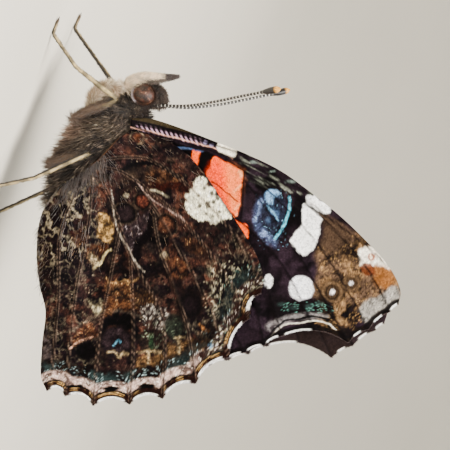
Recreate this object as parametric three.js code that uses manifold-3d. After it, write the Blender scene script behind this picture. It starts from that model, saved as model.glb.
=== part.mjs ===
// Red admiral butterfly (Vanessa atalanta), life size, at rest with its wings closed over its back.
// Millimetres. +Z up, head toward -Y, tail toward +Y, the animal's left side toward +X, feet on z = 0.
// The origin is the middle of the model's footprint, at floor level.

import * as THREE from "three";
import { mergeVertices } from "three/addons/utils/BufferGeometryUtils.js";
import Module from "manifold-3d";

const wasm = await Module();
wasm.setup();

// Driving sizes
const GAP = 0.3;
const WELD = 0.002;
const SAME_POINT = 1e-5;
const BLOCK = 80;
const LEFT = 1;
const RIGHT = -1;

// Wing sheets: both forewings stand inside, both hindwings close over them from outside
const WING_THICK = 0.5;
const VEIN_RISE = 0.16;
const VEIN_ROOT = 0.35;
const VEIN_WIDE = 0.42;
const VEIN_TIP_WIDE = 0.3;
const WINGS_APART = 1.1;
const SHEET_STEP = WING_THICK + VEIN_RISE + GAP;
const TIPS_SPREAD = 0.4;
const SPREAD_REACH = 30;
const SHEET_CELL = 2.75;
const SHEET_CELLS = 16;
const SHEET_START = [-2.6, 0.4];
const PRISM_WIDTH = 12;

// The body's own line, seen from the side as [y, z], and how far the wings swell around it
const NECK = [3.5, 9.8];
const WAIST = [15.0, 7.1];
const TAIL = [26.4, 11.2];
const SWELL_NECK = 1.35;
const SWELL_WAIST = 1.25;
const SWELL_TAIL = 0.55;
const SWELL_REACH = 4.6;

// Wings lie in planes of their own: [out from the root, back toward the tail] in millimetres.
// front: the costal edge. tips: where the veins end on the outer margin. hem: the inner margin.
const FOREWING = {
  root: [5.7, 10.3],
  lean: 10.8,
  front: [
    [-0.3, -0.5], [2.0, -1.8], [8.4, -3.3], [14.1, -4.3], [18.7, -4.2], [23.4, -3.7], [28.6, -2.5],
    [31.0, -1.2], [31.7, 0.1],
  ],
  tips: [
    [31.7, 0.1], [31.4, 1.2], [30.6, 3.8], [29.7, 6.0], [26.3, 6.8], [23.9, 9.1], [23.0, 10.8],
    [21.8, 12.5], [20.6, 14.2],
  ],
  hem: [[20.6, 14.2], [16.6, 12.6], [9.1, 7.6], [0.8, 1.7], [-0.3, -0.5]],
  scallop: 0.22,
  marginSteps: 2,
  veins: {
    subcosta: [[0.2, -0.2], [3.6, -1.6], [7.0, -2.6], [11.2, -3.8]],
    radius: [[0.2, 0.1], [3.5, -0.8], [9.0, -2.5], [14.7, -3.6], [18.8, -4.1]],
    radiusFork: [[9.0, -2.5], [11.8, -2.3], [17.6, -3.0], [24.6, -3.0], [28.8, -2.4]],
    radiusTip: [[17.6, -3.0], [20.7, -2.8], [26.7, -1.3], [31.4, 1.1]],
    media1: [[11.8, -2.3], [15.7, -1.9], [21.8, -0.4], [27.4, 2.1], [30.6, 3.8]],
    media2: [[12.3, -1.6], [15.0, -0.7], [21.2, 1.7], [24.6, 3.4], [29.7, 6.0]],
    cubitus: [[0.4, 0.3], [5.2, 0.8], [9.8, 1.6], [14.3, 2.0], [20.2, 3.3], [26.3, 6.8]],
    cubitus1: [[12.6, 1.9], [16.4, 3.5], [20.3, 6.1], [23.9, 9.1]],
    cubitus2: [[8.8, 1.5], [12.6, 2.9], [18.0, 6.2], [23.0, 10.8]],
    anal: [[0.5, 0.6], [10.1, 6.2], [17.5, 10.2], [21.8, 12.5]],
    cellEnd: [[11.8, -2.3], [13.2, 0.0], [14.3, 2.0]],
  },
};
const HINDWING = {
  root: [11.0, 8.4],
  lean: 50.2,
  front: [
    [-0.3, -0.9], [-2.0, -3.9], [-1.5, -6.0], [0.4, -8.4], [3.3, -10.1], [6.7, -11.2],
    [11.5, -12.6], [13.9, -13.0], [15.6, -12.9], [16.8, -12.3],
  ],
  tips: [
    [16.8, -12.3], [18.8, -10.5], [21.9, -7.5], [23.4, -3.6], [23.9, 0.0], [23.5, 3.3], [22.6, 6.8],
    [20.9, 9.2], [19.9, 10.8],
  ],
  hem: [
    [19.9, 10.8], [18.2, 10.9], [15.4, 9.9], [12.4, 8.6], [9.6, 8.4], [6.3, 7.7], [3.1, 6.2],
    [0.9, 3.6], [-0.3, -0.9],
  ],
  scallop: 0.65,
  marginSteps: 4,
  veins: {
    subcosta: [[-0.2, -0.8], [0.0, -3.0], [1.2, -5.8], [4.8, -8.6], [10.6, -11.5], [15.6, -12.6]],
    radius: [[0.3, -0.8], [1.9, -3.1], [7.2, -6.7], [13.8, -9.4], [18.8, -10.5]],
    media1: [[3.6, -4.2], [8.7, -5.4], [15.0, -6.8], [21.9, -7.5]],
    media2: [[6.1, -4.4], [10.0, -4.0], [17.0, -4.4], [23.4, -3.6]],
    cubitus: [[0.6, -0.4], [4.5, -0.8], [9.8, -1.0], [15.0, -2.2], [19.0, -1.7], [23.9, 0.0]],
    cubitus1: [[9.4, -1.0], [13.8, 0.1], [18.5, 1.4], [23.5, 3.3]],
    cubitus2: [[6.6, -0.8], [11.7, 1.9], [16.1, 4.2], [22.6, 6.8]],
    anal: [[1.0, 0.3], [5.9, 2.3], [12.1, 5.5], [20.9, 9.2]],
    hemVein: [[0.9, 1.2], [5.4, 4.9], [11.6, 7.0], [19.9, 10.5]],
  },
};
const RIGHT_FOREWING_BACK = 4.3;
const RIGHT_HINDWING_BACK = 0.8;

// Body, as rings along its line: share of the way, half width, depth above and depth below the line
const THORAX_RINGS = [
  [0.0, 0.75, 1.6, 1.7],
  [0.05, 1.45, 2.2, 2.5],
  [0.14, 1.9, 2.5, 3.0],
  [0.27, 2.15, 2.8, 3.4],
  [0.42, 2.25, 3.0, 3.6],
  [0.58, 2.25, 2.9, 3.6],
  [0.72, 2.15, 2.6, 3.3],
  [0.84, 1.95, 2.3, 2.7],
  [0.94, 1.75, 1.9, 2.1],
  [1.0, 1.4, 1.5, 1.6],
];
const THORAX_SIDES = 18;
const ABDOMEN_SEGMENTS = 8;
const ABDOMEN_WIDE = 1.7;
const ABDOMEN_DEEP = 1.8;
const ABDOMEN_SIDES = 14;
const ABDOMEN_SAG = 0.5;
const ABDOMEN_SUNK = 0.5;
const SEGMENT_STEP = 0.1;
const SEGMENT_LAP = 0.7;
// How the abdomen's girth runs: fullest a third of the way along, blunt at both ends, slimmer to the tail
const GIRTH_STRETCH = 1.55;
const GIRTH_MIDDLE = 0.5;
const GIRTH_POWER = 2.6;
const GIRTH_DROP = 0.82;
const GIRTH_TAPER = 0.12;

// Head
const HEAD_AT = [0, 2.35, 10.6];
const HEAD_RADII = [1.65, 1.3, 1.75];
const HEAD_TILT = 22.9;
const CROWN_AT = [0, 2.35, 11.8];
const CROWN_RADII = [0.95, 0.9, 0.75];
const EYE_AT = [1.2, 2.5, 10.25];
const EYE_RADII = [0.95, 0.98, 1.1];
const EYE_BACK = 0.75;
const PALP_LINE = [
  [0.85, 2.5, 8.15], [0.85, 1.75, 8.6], [0.78, 0.95, 9.5], [0.62, 0.4, 10.7], [0.48, -0.05, 11.7],
  [0.4, -0.5, 12.5],
];
const PALP_SIZES = [0.28, 0.4, 0.45, 0.4, 0.3, 0.12];
const TONGUE_AT = [0, 1.55, 8.9];
const TONGUE_RADIUS = 0.62;
const TONGUE_TURNS = 2;
const TONGUE_CORE = 0.2;
const TONGUE_RIDGE = 0.27;
const TONGUE_GROOVE = 0.17;
const ANTENNA_LINE = [
  [0.5, 2.9, 11.9], [1.5, 1.9, 14.6], [2.9, 0.6, 17.0], [4.1, -0.7, 19.1], [5.3, -1.85, 21.0],
  [6.4, -2.95, 22.85],
];
const ANTENNA_SIZES = [
  [0, 0.32], [0.04, 0.34], [0.08, 0.25], [0.74, 0.25], [0.82, 0.4], [0.92, 0.55], [0.97, 0.45],
  [1, 0.2],
];
const ANTENNA_STEPS = [0, 0.04, 0.08, 0.2, 0.32, 0.44, 0.56, 0.66, 0.74, 0.82, 0.88, 0.94, 0.98, 1];
const RIGHT_ANTENNA_FORWARD = 1.0;

// Legs, as [x, y, z] on the left side, from the hip to the tip of the foot
const TARSUS_JOINTS = 5;
const FOOT_HEIGHT = 0.2;
const MIDLEG_LEFT = {
  hip: [1.1, 7.9, 5.4],
  turn: [1.5, 7.3, 4.6],
  knee: [3.3, 4.0, 8.1],
  ankle: [4.6, 2.7, 3.4],
  sole: [5.4, 0.6, 0.25],
  toe: [5.6, -0.9, FOOT_HEIGHT],
};
const MIDLEG_RIGHT = {
  hip: [1.1, 7.9, 5.4],
  turn: [1.5, 7.3, 4.6],
  knee: [3.3, 3.3, 7.7],
  ankle: [4.7, 0.9, 3.7],
  sole: [5.8, -1.2, 0.25],
  toe: [6.1, -2.7, FOOT_HEIGHT],
};
const HINDLEG_LEFT = {
  hip: [1.1, 12.0, 4.9],
  turn: [1.6, 12.4, 4.0],
  knee: [3.5, 10.0, 7.7],
  ankle: [4.8, 14.3, 3.9],
  sole: [6.0, 17.0, 0.25],
  toe: [6.3, 18.5, FOOT_HEIGHT],
};
const HINDLEG_RIGHT = {
  hip: [1.1, 12.0, 4.9],
  turn: [1.6, 12.4, 4.0],
  knee: [3.5, 10.6, 7.5],
  ankle: [5.1, 15.2, 4.0],
  sole: [6.0, 19.2, 0.25],
  toe: [6.3, 20.7, FOOT_HEIGHT],
};
// Leg radii at the start, a third of the way and the end of each part
const HIP_SIZES = [0.55, 0.6, 0.42];
const THIGH_SIZES = [0.38, 0.44, 0.3];
const SHIN_SIZES = [0.27, 0.31, 0.27];
const TURN_KNOB = 0.42;
const KNEE_KNOB = 0.33;
const ANKLE_KNOB = 0.29;
const TARSUS_START = 0.2;
const TARSUS_WIDE = 0.25;
const TARSUS_NARROW = 0.21;
const TARSUS_TIP = 0.18;
const SPUR = { long: 0.9, spread: 0.42, sizes: [0.16, 0.14, 0.05] };
const CLAW = { long: 0.55, spread: 0.32, height: 0.1, sizes: [0.17, 0.14, 0.06] };
const FORELEG = [[0.9, 6.2, 6.1], [1.1, 4.6, 5.7], [1.2, 3.4, 6.2], [1.35, 2.9, 7.0], [1.5, 3.1, 7.7]];
const FORELEG_SIZES = [0.35, 0.42, 0.42, 0.36, 0.26];

// Colours
const PAINT = {
  body: new THREE.MeshStandardMaterial({ color: "#4a3c34", roughness: 0.95 }),
  eye: new THREE.MeshStandardMaterial({ color: "#4a2a1a", roughness: 0.4 }),
  palp: new THREE.MeshStandardMaterial({ color: "#e8dcc4", roughness: 0.9 }),
  antenna: new THREE.MeshStandardMaterial({ color: "#1c1718", roughness: 0.7 }),
  leg: new THREE.MeshStandardMaterial({ color: "#a8936c", roughness: 0.8 }),
  forewing: new THREE.MeshStandardMaterial({ color: "#3b2f33", roughness: 0.9 }),
  hindwing: new THREE.MeshStandardMaterial({ color: "#54443c", roughness: 0.9 }),
};

const radians = THREE.MathUtils.degToRad;

// Solids

function solidOf(geometry) {
  geometry.deleteAttribute("normal");
  geometry.deleteAttribute("uv");
  const merged = mergeVertices(geometry, SAME_POINT);
  const vertProperties = new Float32Array(merged.attributes.position.array);
  const triVerts = new Uint32Array(merged.index.array);
  return new wasm.Manifold(new wasm.Mesh({ numProp: 3, vertProperties, triVerts }));
}

function largestPiece(solid) {
  const pieces = solid.decompose();
  return pieces.reduce((best, piece) => (piece.volume() > best.volume() ? piece : best));
}

// Corners closer than the weld become one, which folds the slivers between them away
function welded(positions, corners) {
  const rough = new THREE.BufferGeometry();
  rough.setAttribute("position", new THREE.BufferAttribute(new Float32Array(positions), 3));
  rough.setIndex(new THREE.BufferAttribute(new Uint32Array(corners), 1));
  const geometry = mergeVertices(rough, WELD);
  const kept = new Map();
  for (let i = 0; i < geometry.index.count; i += 3) {
    const face = [0, 1, 2].map((corner) => geometry.index.getX(i + corner));
    const key = [...face].sort((a, b) => a - b).join(" ");
    if (new Set(face).size < 3 || kept.delete(key)) {
      continue;
    }
    kept.set(key, face);
  }
  geometry.setIndex([...kept.values()].flat());
  geometry.computeVertexNormals();
  return geometry;
}

function meshOf(name, solid, paint) {
  const { vertProperties, triVerts } = largestPiece(solid).getMesh();
  const mesh = new THREE.Mesh(welded(vertProperties, triVerts), paint);
  mesh.name = name;
  return mesh;
}

function mirrored([x, y, z], side) {
  return [x * side, y, z];
}

function ellipsoid(at, radii, grow = 0, tilt = 0, sides = 14, rows = 10) {
  const ball = new THREE.SphereGeometry(1, sides, rows);
  ball.scale(radii[0] + grow, radii[1] + grow, radii[2] + grow);
  ball.rotateX(radians(tilt));
  ball.translate(...at);
  return solidOf(ball);
}

// A closed tube: each ring is an ellipse about its centre, `wide` to the sides, `up` and `down` from the line
function tube(rings, sides) {
  const stock = new THREE.CylinderGeometry(1, 1, 1, sides, rings.length - 1);
  const { position } = stock.attributes;
  const centres = rings.map((ring) => new THREE.Vector3(...ring.at));
  for (let i = 0; i < position.count; i += 1) {
    const k = Math.round((0.5 - position.getY(i)) * (rings.length - 1));
    const ahead = centres[Math.min(k + 1, rings.length - 1)];
    const along = ahead.clone().sub(centres[Math.max(k - 1, 0)]).normalize();
    const across = new THREE.Vector3(1, 0, 0).addScaledVector(along, -along.x).normalize();
    const below = along.clone().cross(across);
    const deep = position.getZ(i) > 0 ? rings[k].down : rings[k].up;
    const point = centres[k].clone();
    point.addScaledVector(across, position.getX(i) * rings[k].wide);
    point.addScaledVector(below, position.getZ(i) * deep);
    position.setXYZ(i, point.x, point.y, point.z);
  }
  return solidOf(stock);
}

function roundRing(at, radius) {
  return { at, wide: radius, up: radius, down: radius };
}

function onLine([y0, z0], [y1, z1], share) {
  return [y0 + (y1 - y0) * share, z0 + (z1 - z0) * share];
}

// Body

function thorax(grow = 0) {
  const rings = THORAX_RINGS.map(([share, wide, up, down]) => {
    const end = share === 0 ? -grow : share === 1 ? grow : 0;
    const [y, z] = onLine(NECK, WAIST, share);
    return { at: [0, y + end, z], wide: wide + grow, up: up + grow, down: down + grow };
  });
  return tube(rings, THORAX_SIDES);
}

// Each segment starts a little wider than the one before it ends, and all taper to the tail
function abdomen(grow = 0) {
  const rings = [];
  const last = ABDOMEN_SEGMENTS * 2;
  for (let i = 0; i <= last; i += 1) {
    const share = (i + (i % 2) * SEGMENT_LAP) / (last + SEGMENT_LAP);
    const drop = Math.abs(share * GIRTH_STRETCH - GIRTH_MIDDLE) ** GIRTH_POWER * GIRTH_DROP;
    const girth = Math.sqrt(Math.max(0, 1 - drop)) * (1 - GIRTH_TAPER * share);
    const size = girth + (i % 2 ? 0 : SEGMENT_STEP / 2);
    const [y, z] = onLine(WAIST, TAIL, share);
    const rise = -ABDOMEN_SAG * Math.sin(share * Math.PI);
    const at = [0, y - ABDOMEN_SUNK * (1 - share) + grow * (share * 2 - 1), z + rise];
    const deep = size * ABDOMEN_DEEP + grow;
    rings.push({ at, wide: size * ABDOMEN_WIDE + grow, up: deep, down: deep });
  }
  return tube(rings, ABDOMEN_SIDES);
}

// How far a forewing's sheet lies from the model's middle plane: more around the body and toward the tips
function sheetX(y, z) {
  const point = new THREE.Vector2(y, z);
  const swell = (from, to, atFrom, atTo) => {
    const start = new THREE.Vector2(...from);
    const line = new THREE.Vector2(...to).sub(start);
    const share = THREE.MathUtils.clamp(point.clone().sub(start).dot(line) / line.lengthSq(), 0, 1);
    const away = Math.min(1, point.distanceTo(start.addScaledVector(line, share)) / SWELL_REACH);
    return THREE.MathUtils.lerp(atFrom, atTo, share) * 0.5 * (1 + Math.cos(Math.PI * away));
  };
  const front = swell(NECK, WAIST, SWELL_NECK, SWELL_WAIST);
  const body = Math.max(front, swell(WAIST, TAIL, SWELL_WAIST, SWELL_TAIL));
  const spread = TIPS_SPREAD * Math.min(1, Math.max(0, z - WAIST[1]) / SPREAD_REACH) ** 2;
  return WINGS_APART / 2 + spread + body;
}

// Wings

function placer(wing, turnedBack) {
  const lean = radians(wing.lean + turnedBack);
  const [rootY, rootZ] = wing.root;
  return ([out, back]) => new THREE.Vector2(
    rootY + out * Math.sin(lean) + back * Math.cos(lean),
    rootZ + out * Math.cos(lean) - back * Math.sin(lean),
  );
}

function splineThrough(points, steps) {
  const curve = new THREE.SplineCurve(points.map(([out, back]) => new THREE.Vector2(out, back)));
  return curve.getPoints(steps);
}

// The outline runs up the costal edge, along the scalloped outer margin and back down the inner one
function wingOutline(wing) {
  const costa = splineThrough(wing.front, wing.front.length + 3);
  const hem = splineThrough(wing.hem, wing.hem.length + 1);
  const margin = [];
  for (let i = 0; i + 1 < wing.tips.length; i += 1) {
    const from = new THREE.Vector2(...wing.tips[i]);
    const to = new THREE.Vector2(...wing.tips[i + 1]);
    const inward = new THREE.Vector2(from.y - to.y, to.x - from.x).normalize();
    const valley = from.clone().add(to).multiplyScalar(0.5).addScaledVector(inward, 2 * wing.scallop);
    const hollow = new THREE.QuadraticBezierCurve(from, valley, to);
    margin.push(...hollow.getPoints(wing.marginSteps).slice(1));
  }
  return [...costa.slice(0, -1), new THREE.Vector2(...wing.tips[0]), ...margin, ...hem.slice(1, -1)];
}

// A prism of the wing's outline, across both sides of the model
function wingPrism(wing, place) {
  const corners = wingOutline(wing).map((p) => place([p.x, p.y]));
  const shape = new THREE.Shape(corners);
  const geometry = new THREE.ExtrudeGeometry(shape, { depth: PRISM_WIDTH, bevelEnabled: false });
  geometry.translate(0, 0, -PRISM_WIDTH / 2);
  const toSide = new THREE.Matrix4().makeBasis(
    new THREE.Vector3(0, 1, 0), new THREE.Vector3(0, 0, 1), new THREE.Vector3(1, 0, 0));
  return solidOf(geometry.applyMatrix4(toSide));
}

// One curved sheet on a square grid, split alike on both faces
function sheet(side, shift) {
  const points = [];
  for (const face of [-1, 1]) {
    for (let row = 0; row <= SHEET_CELLS; row += 1) {
      for (let column = 0; column <= SHEET_CELLS; column += 1) {
        const y = SHEET_START[0] + column * SHEET_CELL;
        const z = SHEET_START[1] + row * SHEET_CELL;
        points.push(side * (sheetX(y, z) + shift) + face * WING_THICK / 2, y, z);
      }
    }
  }
  const layer = (SHEET_CELLS + 1) ** 2;
  const id = (column, row) => row * (SHEET_CELLS + 1) + column;
  const faces = [];
  const wall = (a, b) => faces.push(a, b, b + layer, a, b + layer, a + layer);
  for (let row = 0; row < SHEET_CELLS; row += 1) {
    for (let column = 0; column < SHEET_CELLS; column += 1) {
      const [a, b] = [id(column, row), id(column + 1, row)];
      const [c, d] = [id(column + 1, row + 1), id(column, row + 1)];
      faces.push(a, c, b, a, d, c);
      faces.push(a + layer, b + layer, c + layer, a + layer, c + layer, d + layer);
    }
    wall(id(row, 0), id(row + 1, 0));
    wall(id(row + 1, SHEET_CELLS), id(row, SHEET_CELLS));
    wall(id(SHEET_CELLS, row), id(SHEET_CELLS, row + 1));
    wall(id(0, row + 1), id(0, row));
  }
  const geometry = new THREE.BufferGeometry();
  geometry.setAttribute("position", new THREE.Float32BufferAttribute(points, 3));
  geometry.setIndex(faces);
  return solidOf(geometry);
}

// The same sheet between the corners of its cells, where its faces are flat
function facetX(y, z) {
  const [column, row] = [(y - SHEET_START[0]) / SHEET_CELL, (z - SHEET_START[1]) / SHEET_CELL];
  const [i, j] = [Math.floor(column), Math.floor(row)];
  const corner = (a, b) => sheetX(SHEET_START[0] + a * SHEET_CELL, SHEET_START[1] + b * SHEET_CELL);
  const [u, v] = [column - i, row - j];
  const turn = u > v ? corner(i + 1, j) : corner(i, j + 1);
  const [near, far] = [1 - Math.max(u, v), Math.min(u, v)];
  return corner(i, j) * near + corner(i + 1, j + 1) * far + turn * (1 - near - far);
}

// A vein stands proud of the outer face as a low ridge, narrower toward the margin, its root in the sheet
function vein(line, place, side, shift) {
  const steps = Math.ceil(1.4 * (line.length - 1));
  const rings = splineThrough(line, steps).map((p, k) => {
    const at = place([p.x, p.y]);
    const half = (VEIN_RISE + VEIN_ROOT) / 2;
    const x = side * (facetX(at.x, at.y) + shift + WING_THICK / 2 + VEIN_RISE - half);
    const wide = THREE.MathUtils.lerp(VEIN_WIDE, VEIN_TIP_WIDE, k / steps);
    return { at: [x, at.x, at.y], wide: half, up: wide, down: wide };
  });
  return tube(rings, 4);
}

function wingSolid(wing, side, turnedBack, shift, bodies) {
  const place = placer(wing, turnedBack);
  let solid = sheet(side, shift);
  for (const line of Object.values(wing.veins)) {
    solid = solid.add(vein(line, place, side, shift));
  }
  solid = solid.intersect(wingPrism(wing, place));
  for (const body of bodies) {
    solid = solid.subtract(body);
  }
  return solid;
}

// Head

function halfSpace(side, from) {
  const box = new THREE.BoxGeometry(BLOCK, BLOCK, BLOCK);
  box.translate(side * (BLOCK / 2 + from), HEAD_AT[1], HEAD_AT[2]);
  return solidOf(box);
}

function eye(side, grow = 0) {
  const ball = ellipsoid(mirrored(EYE_AT, side), EYE_RADII, grow, HEAD_TILT, 14, 10);
  return ball.intersect(halfSpace(side, EYE_BACK - grow));
}

// The skull and the crown between the antennae's roots
function skull(grow = 0) {
  const crown = ellipsoid(CROWN_AT, CROWN_RADII, grow, HEAD_TILT, 10, 6);
  return ellipsoid(HEAD_AT, HEAD_RADII, grow, HEAD_TILT).add(crown);
}

function headSolid(palps, roll) {
  let solid = skull();
  for (const side of [LEFT, RIGHT]) {
    solid = solid.subtract(eye(side, GAP));
  }
  return [thorax(GAP), ...palps, roll].reduce((rest, cutter) => rest.subtract(cutter), solid);
}

function palp(side, grow = 0) {
  const rings = PALP_LINE.map((at, i) => roundRing(mirrored(at, side), PALP_SIZES[i] + grow));
  return tube(rings, 10);
}

// The coiled tongue is a flat roll with a groove between its turns
function tongue(grow = 0) {
  const profile = [new THREE.Vector2(0, -TONGUE_CORE - grow)];
  for (let turn = 0; turn < TONGUE_TURNS; turn += 1) {
    const inner = (TONGUE_RADIUS * turn) / TONGUE_TURNS;
    const outer = (TONGUE_RADIUS * (turn + 1)) / TONGUE_TURNS + grow;
    profile.push(new THREE.Vector2((inner + outer) / 2, -TONGUE_RIDGE - grow));
    profile.push(new THREE.Vector2(outer, -TONGUE_GROOVE - grow));
  }
  const faces = [...profile, ...profile.map((p) => new THREE.Vector2(p.x, -p.y)).reverse()];
  const roll = new THREE.LatheGeometry(faces, 16);
  roll.rotateZ(Math.PI / 2);
  roll.translate(...TONGUE_AT);
  return solidOf(roll);
}

function antenna(side) {
  const forward = side === RIGHT ? RIGHT_ANTENNA_FORWARD : 0;
  const points = ANTENNA_LINE.map(([x, y, z], i) => {
    const share = i / (ANTENNA_LINE.length - 1);
    return new THREE.Vector3(x * side, y - forward * share, z);
  });
  const curve = new THREE.CatmullRomCurve3(points);
  const sizeAt = (share) => {
    const next = Math.max(1, ANTENNA_SIZES.findIndex(([end]) => end >= share));
    const [[s0, r0], [s1, r1]] = [ANTENNA_SIZES[next - 1], ANTENNA_SIZES[next]];
    return THREE.MathUtils.mapLinear(share, s0, s1, r0, r1);
  };
  return tube(ANTENNA_STEPS.map((share) => roundRing(curve.getPointAt(share).toArray(), sizeAt(share))), 7);
}

// Legs

function limb(from, to, sizes, sides = 6) {
  const point = (share) => from.map((value, axis) => value + (to[axis] - value) * share);
  return tube([0, 0.35, 1].map((share, i) => roundRing(point(share), sizes[i])), sides);
}

function knob(at, radius) {
  return ellipsoid(at, [radius, radius, radius], 0, 0, 6, 4);
}

function aboveFloor() {
  const box = new THREE.BoxGeometry(BLOCK, BLOCK, BLOCK);
  box.translate(0, 0, BLOCK / 2);
  return solidOf(box);
}

// Hip, thigh, shin with its spurs, five foot joints and two claws; the last joints lie flat on the floor
function leg(plan, side) {
  const at = Object.fromEntries(Object.entries(plan).map(([key, value]) => [key, mirrored(value, side)]));
  let solid = limb(at.hip, at.turn, HIP_SIZES).add(knob(at.turn, TURN_KNOB));
  solid = solid.add(limb(at.turn, at.knee, THIGH_SIZES)).add(knob(at.knee, KNEE_KNOB));
  solid = solid.add(limb(at.knee, at.ankle, SHIN_SIZES)).add(knob(at.ankle, ANKLE_KNOB));
  const foot = new THREE.CatmullRomCurve3([at.ankle, at.sole, at.toe].map((p) => new THREE.Vector3(...p)));
  const joints = foot.getSpacedPoints(TARSUS_JOINTS).map((p) => p.toArray());
  const rings = [roundRing(joints[0], TARSUS_START)];
  for (let i = 1; i <= TARSUS_JOINTS; i += 1) {
    const bulge = joints[i - 1].map((value, axis) => value + (joints[i][axis] - value) * 0.75);
    const narrow = i === TARSUS_JOINTS ? TARSUS_TIP : TARSUS_NARROW;
    rings.push(roundRing(bulge, TARSUS_WIDE), roundRing(joints[i], narrow));
  }
  solid = solid.add(tube(rings, 6));
  const shin = new THREE.Vector3(...at.ankle).sub(new THREE.Vector3(...at.knee)).normalize();
  const toeWay = new THREE.Vector3(...at.toe).sub(new THREE.Vector3(...at.sole)).setZ(0).normalize();
  for (const spread of [-1, 1]) {
    const spurEnd = new THREE.Vector3(...at.ankle).addScaledVector(shin, SPUR.long);
    spurEnd.x += SPUR.spread * spread;
    solid = solid.add(limb(at.ankle, spurEnd.toArray(), SPUR.sizes, 4));
    const sideWay = new THREE.Vector3(-toeWay.y, toeWay.x, 0).multiplyScalar(spread * CLAW.spread);
    const clawEnd = new THREE.Vector3(...at.toe).addScaledVector(toeWay, CLAW.long).add(sideWay);
    solid = solid.add(limb(at.toe, clawEnd.setZ(CLAW.height).toArray(), CLAW.sizes, 4));
  }
  return solid.subtract(thorax(GAP)).intersect(aboveFloor());
}

function foreleg(side) {
  const rings = FORELEG.map((at, i) => roundRing(mirrored(at, side), FORELEG_SIZES[i]));
  return tube(rings, 8).subtract(thorax(GAP)).subtract(palp(side, GAP));
}

// The whole animal

function redAdmiral() {
  const group = new THREE.Group();
  const add = (name, solid, paint) => group.add(meshOf(name, solid, PAINT[paint]));
  const mouth = [palp(LEFT, GAP), palp(RIGHT, GAP)];
  add("thorax", thorax(), "body");
  add("abdomen", abdomen().subtract(thorax(GAP)), "body");
  add("head", headSolid(mouth, tongue(GAP)), "body");
  add("proboscis", tongue(), "antenna");
  const bodies = [thorax(GAP), abdomen(GAP)];
  const legs = { left: [MIDLEG_LEFT, HINDLEG_LEFT], right: [MIDLEG_RIGHT, HINDLEG_RIGHT] };
  for (const [word, side] of [["left", LEFT], ["right", RIGHT]]) {
    const [middle, hind] = legs[word];
    add(`eye_${word}`, eye(side), "eye");
    add(`palp_${word}`, palp(side), "palp");
    add(`antenna_${word}`, antenna(side).subtract(skull(GAP)), "antenna");
    add(`foreleg_${word}`, foreleg(side), "leg");
    add(`midleg_${word}`, leg(middle, side), "leg");
    add(`hindleg_${word}`, leg(hind, side), "leg");
    const foreTurn = side === RIGHT ? RIGHT_FOREWING_BACK : 0;
    const hindTurn = side === RIGHT ? RIGHT_HINDWING_BACK : 0;
    add(`forewing_${word}`, wingSolid(FOREWING, side, foreTurn, 0, bodies), "forewing");
    add(`hindwing_${word}`, wingSolid(HINDWING, side, hindTurn, SHEET_STEP, bodies), "hindwing");
  }
  const middle = new THREE.Box3().setFromObject(group).getCenter(new THREE.Vector3());
  group.position.set(-middle.x, -middle.y, 0);
  return group;
}

export default redAdmiral();
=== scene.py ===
"""A life-size red admiral at rest with its wings closed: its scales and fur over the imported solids."""

import bpy
import numpy as np
from mathutils import Matrix, Vector


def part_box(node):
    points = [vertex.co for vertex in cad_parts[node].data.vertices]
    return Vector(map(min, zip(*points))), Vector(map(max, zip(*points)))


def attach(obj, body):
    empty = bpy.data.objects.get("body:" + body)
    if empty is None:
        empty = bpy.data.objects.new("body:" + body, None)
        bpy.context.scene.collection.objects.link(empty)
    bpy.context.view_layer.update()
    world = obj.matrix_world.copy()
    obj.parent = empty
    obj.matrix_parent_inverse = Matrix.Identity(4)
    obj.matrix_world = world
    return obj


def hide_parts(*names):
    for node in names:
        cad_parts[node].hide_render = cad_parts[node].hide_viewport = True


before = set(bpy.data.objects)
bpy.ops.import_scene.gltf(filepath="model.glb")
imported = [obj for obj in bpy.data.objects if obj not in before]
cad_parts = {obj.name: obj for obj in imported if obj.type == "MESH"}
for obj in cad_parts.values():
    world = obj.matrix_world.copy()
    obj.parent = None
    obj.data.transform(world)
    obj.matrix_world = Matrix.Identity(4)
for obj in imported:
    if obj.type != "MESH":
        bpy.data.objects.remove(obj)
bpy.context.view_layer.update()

bl_info = {
    "name": "Red Admiral",
    "version": (1, 0, 0),
    "blender": (4, 5, 0),
    "location": "View3D > Sidebar > Red Admiral",
    "description": "Wings, fur, eyes, feelers and legs of a life-size red admiral",
    "category": "Object",
}

MM = 0.001

# Places are in the solids' design millimetres: Y from head to tail, Z up, X to the butterfly's left.
EYE_AT = (1.2, 2.5, 10.25)
EYE_RADII = (0.93, 0.96, 1.08)
NECK = (3.5, 9.8)
WAIST = (15.0, 7.1)
TAIL = (26.4, 11.2)
SWELL_NECK = 1.35
SWELL_WAIST = 1.25
SWELL_TAIL = 0.55
SWELL_REACH = 4.6
HALF_APART = 0.55
TIPS_SPREAD = 0.4
SPREAD_REACH = 30.0
FOREWING_OUT = 0.12
HINDWING_OUT = 0.8

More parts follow.
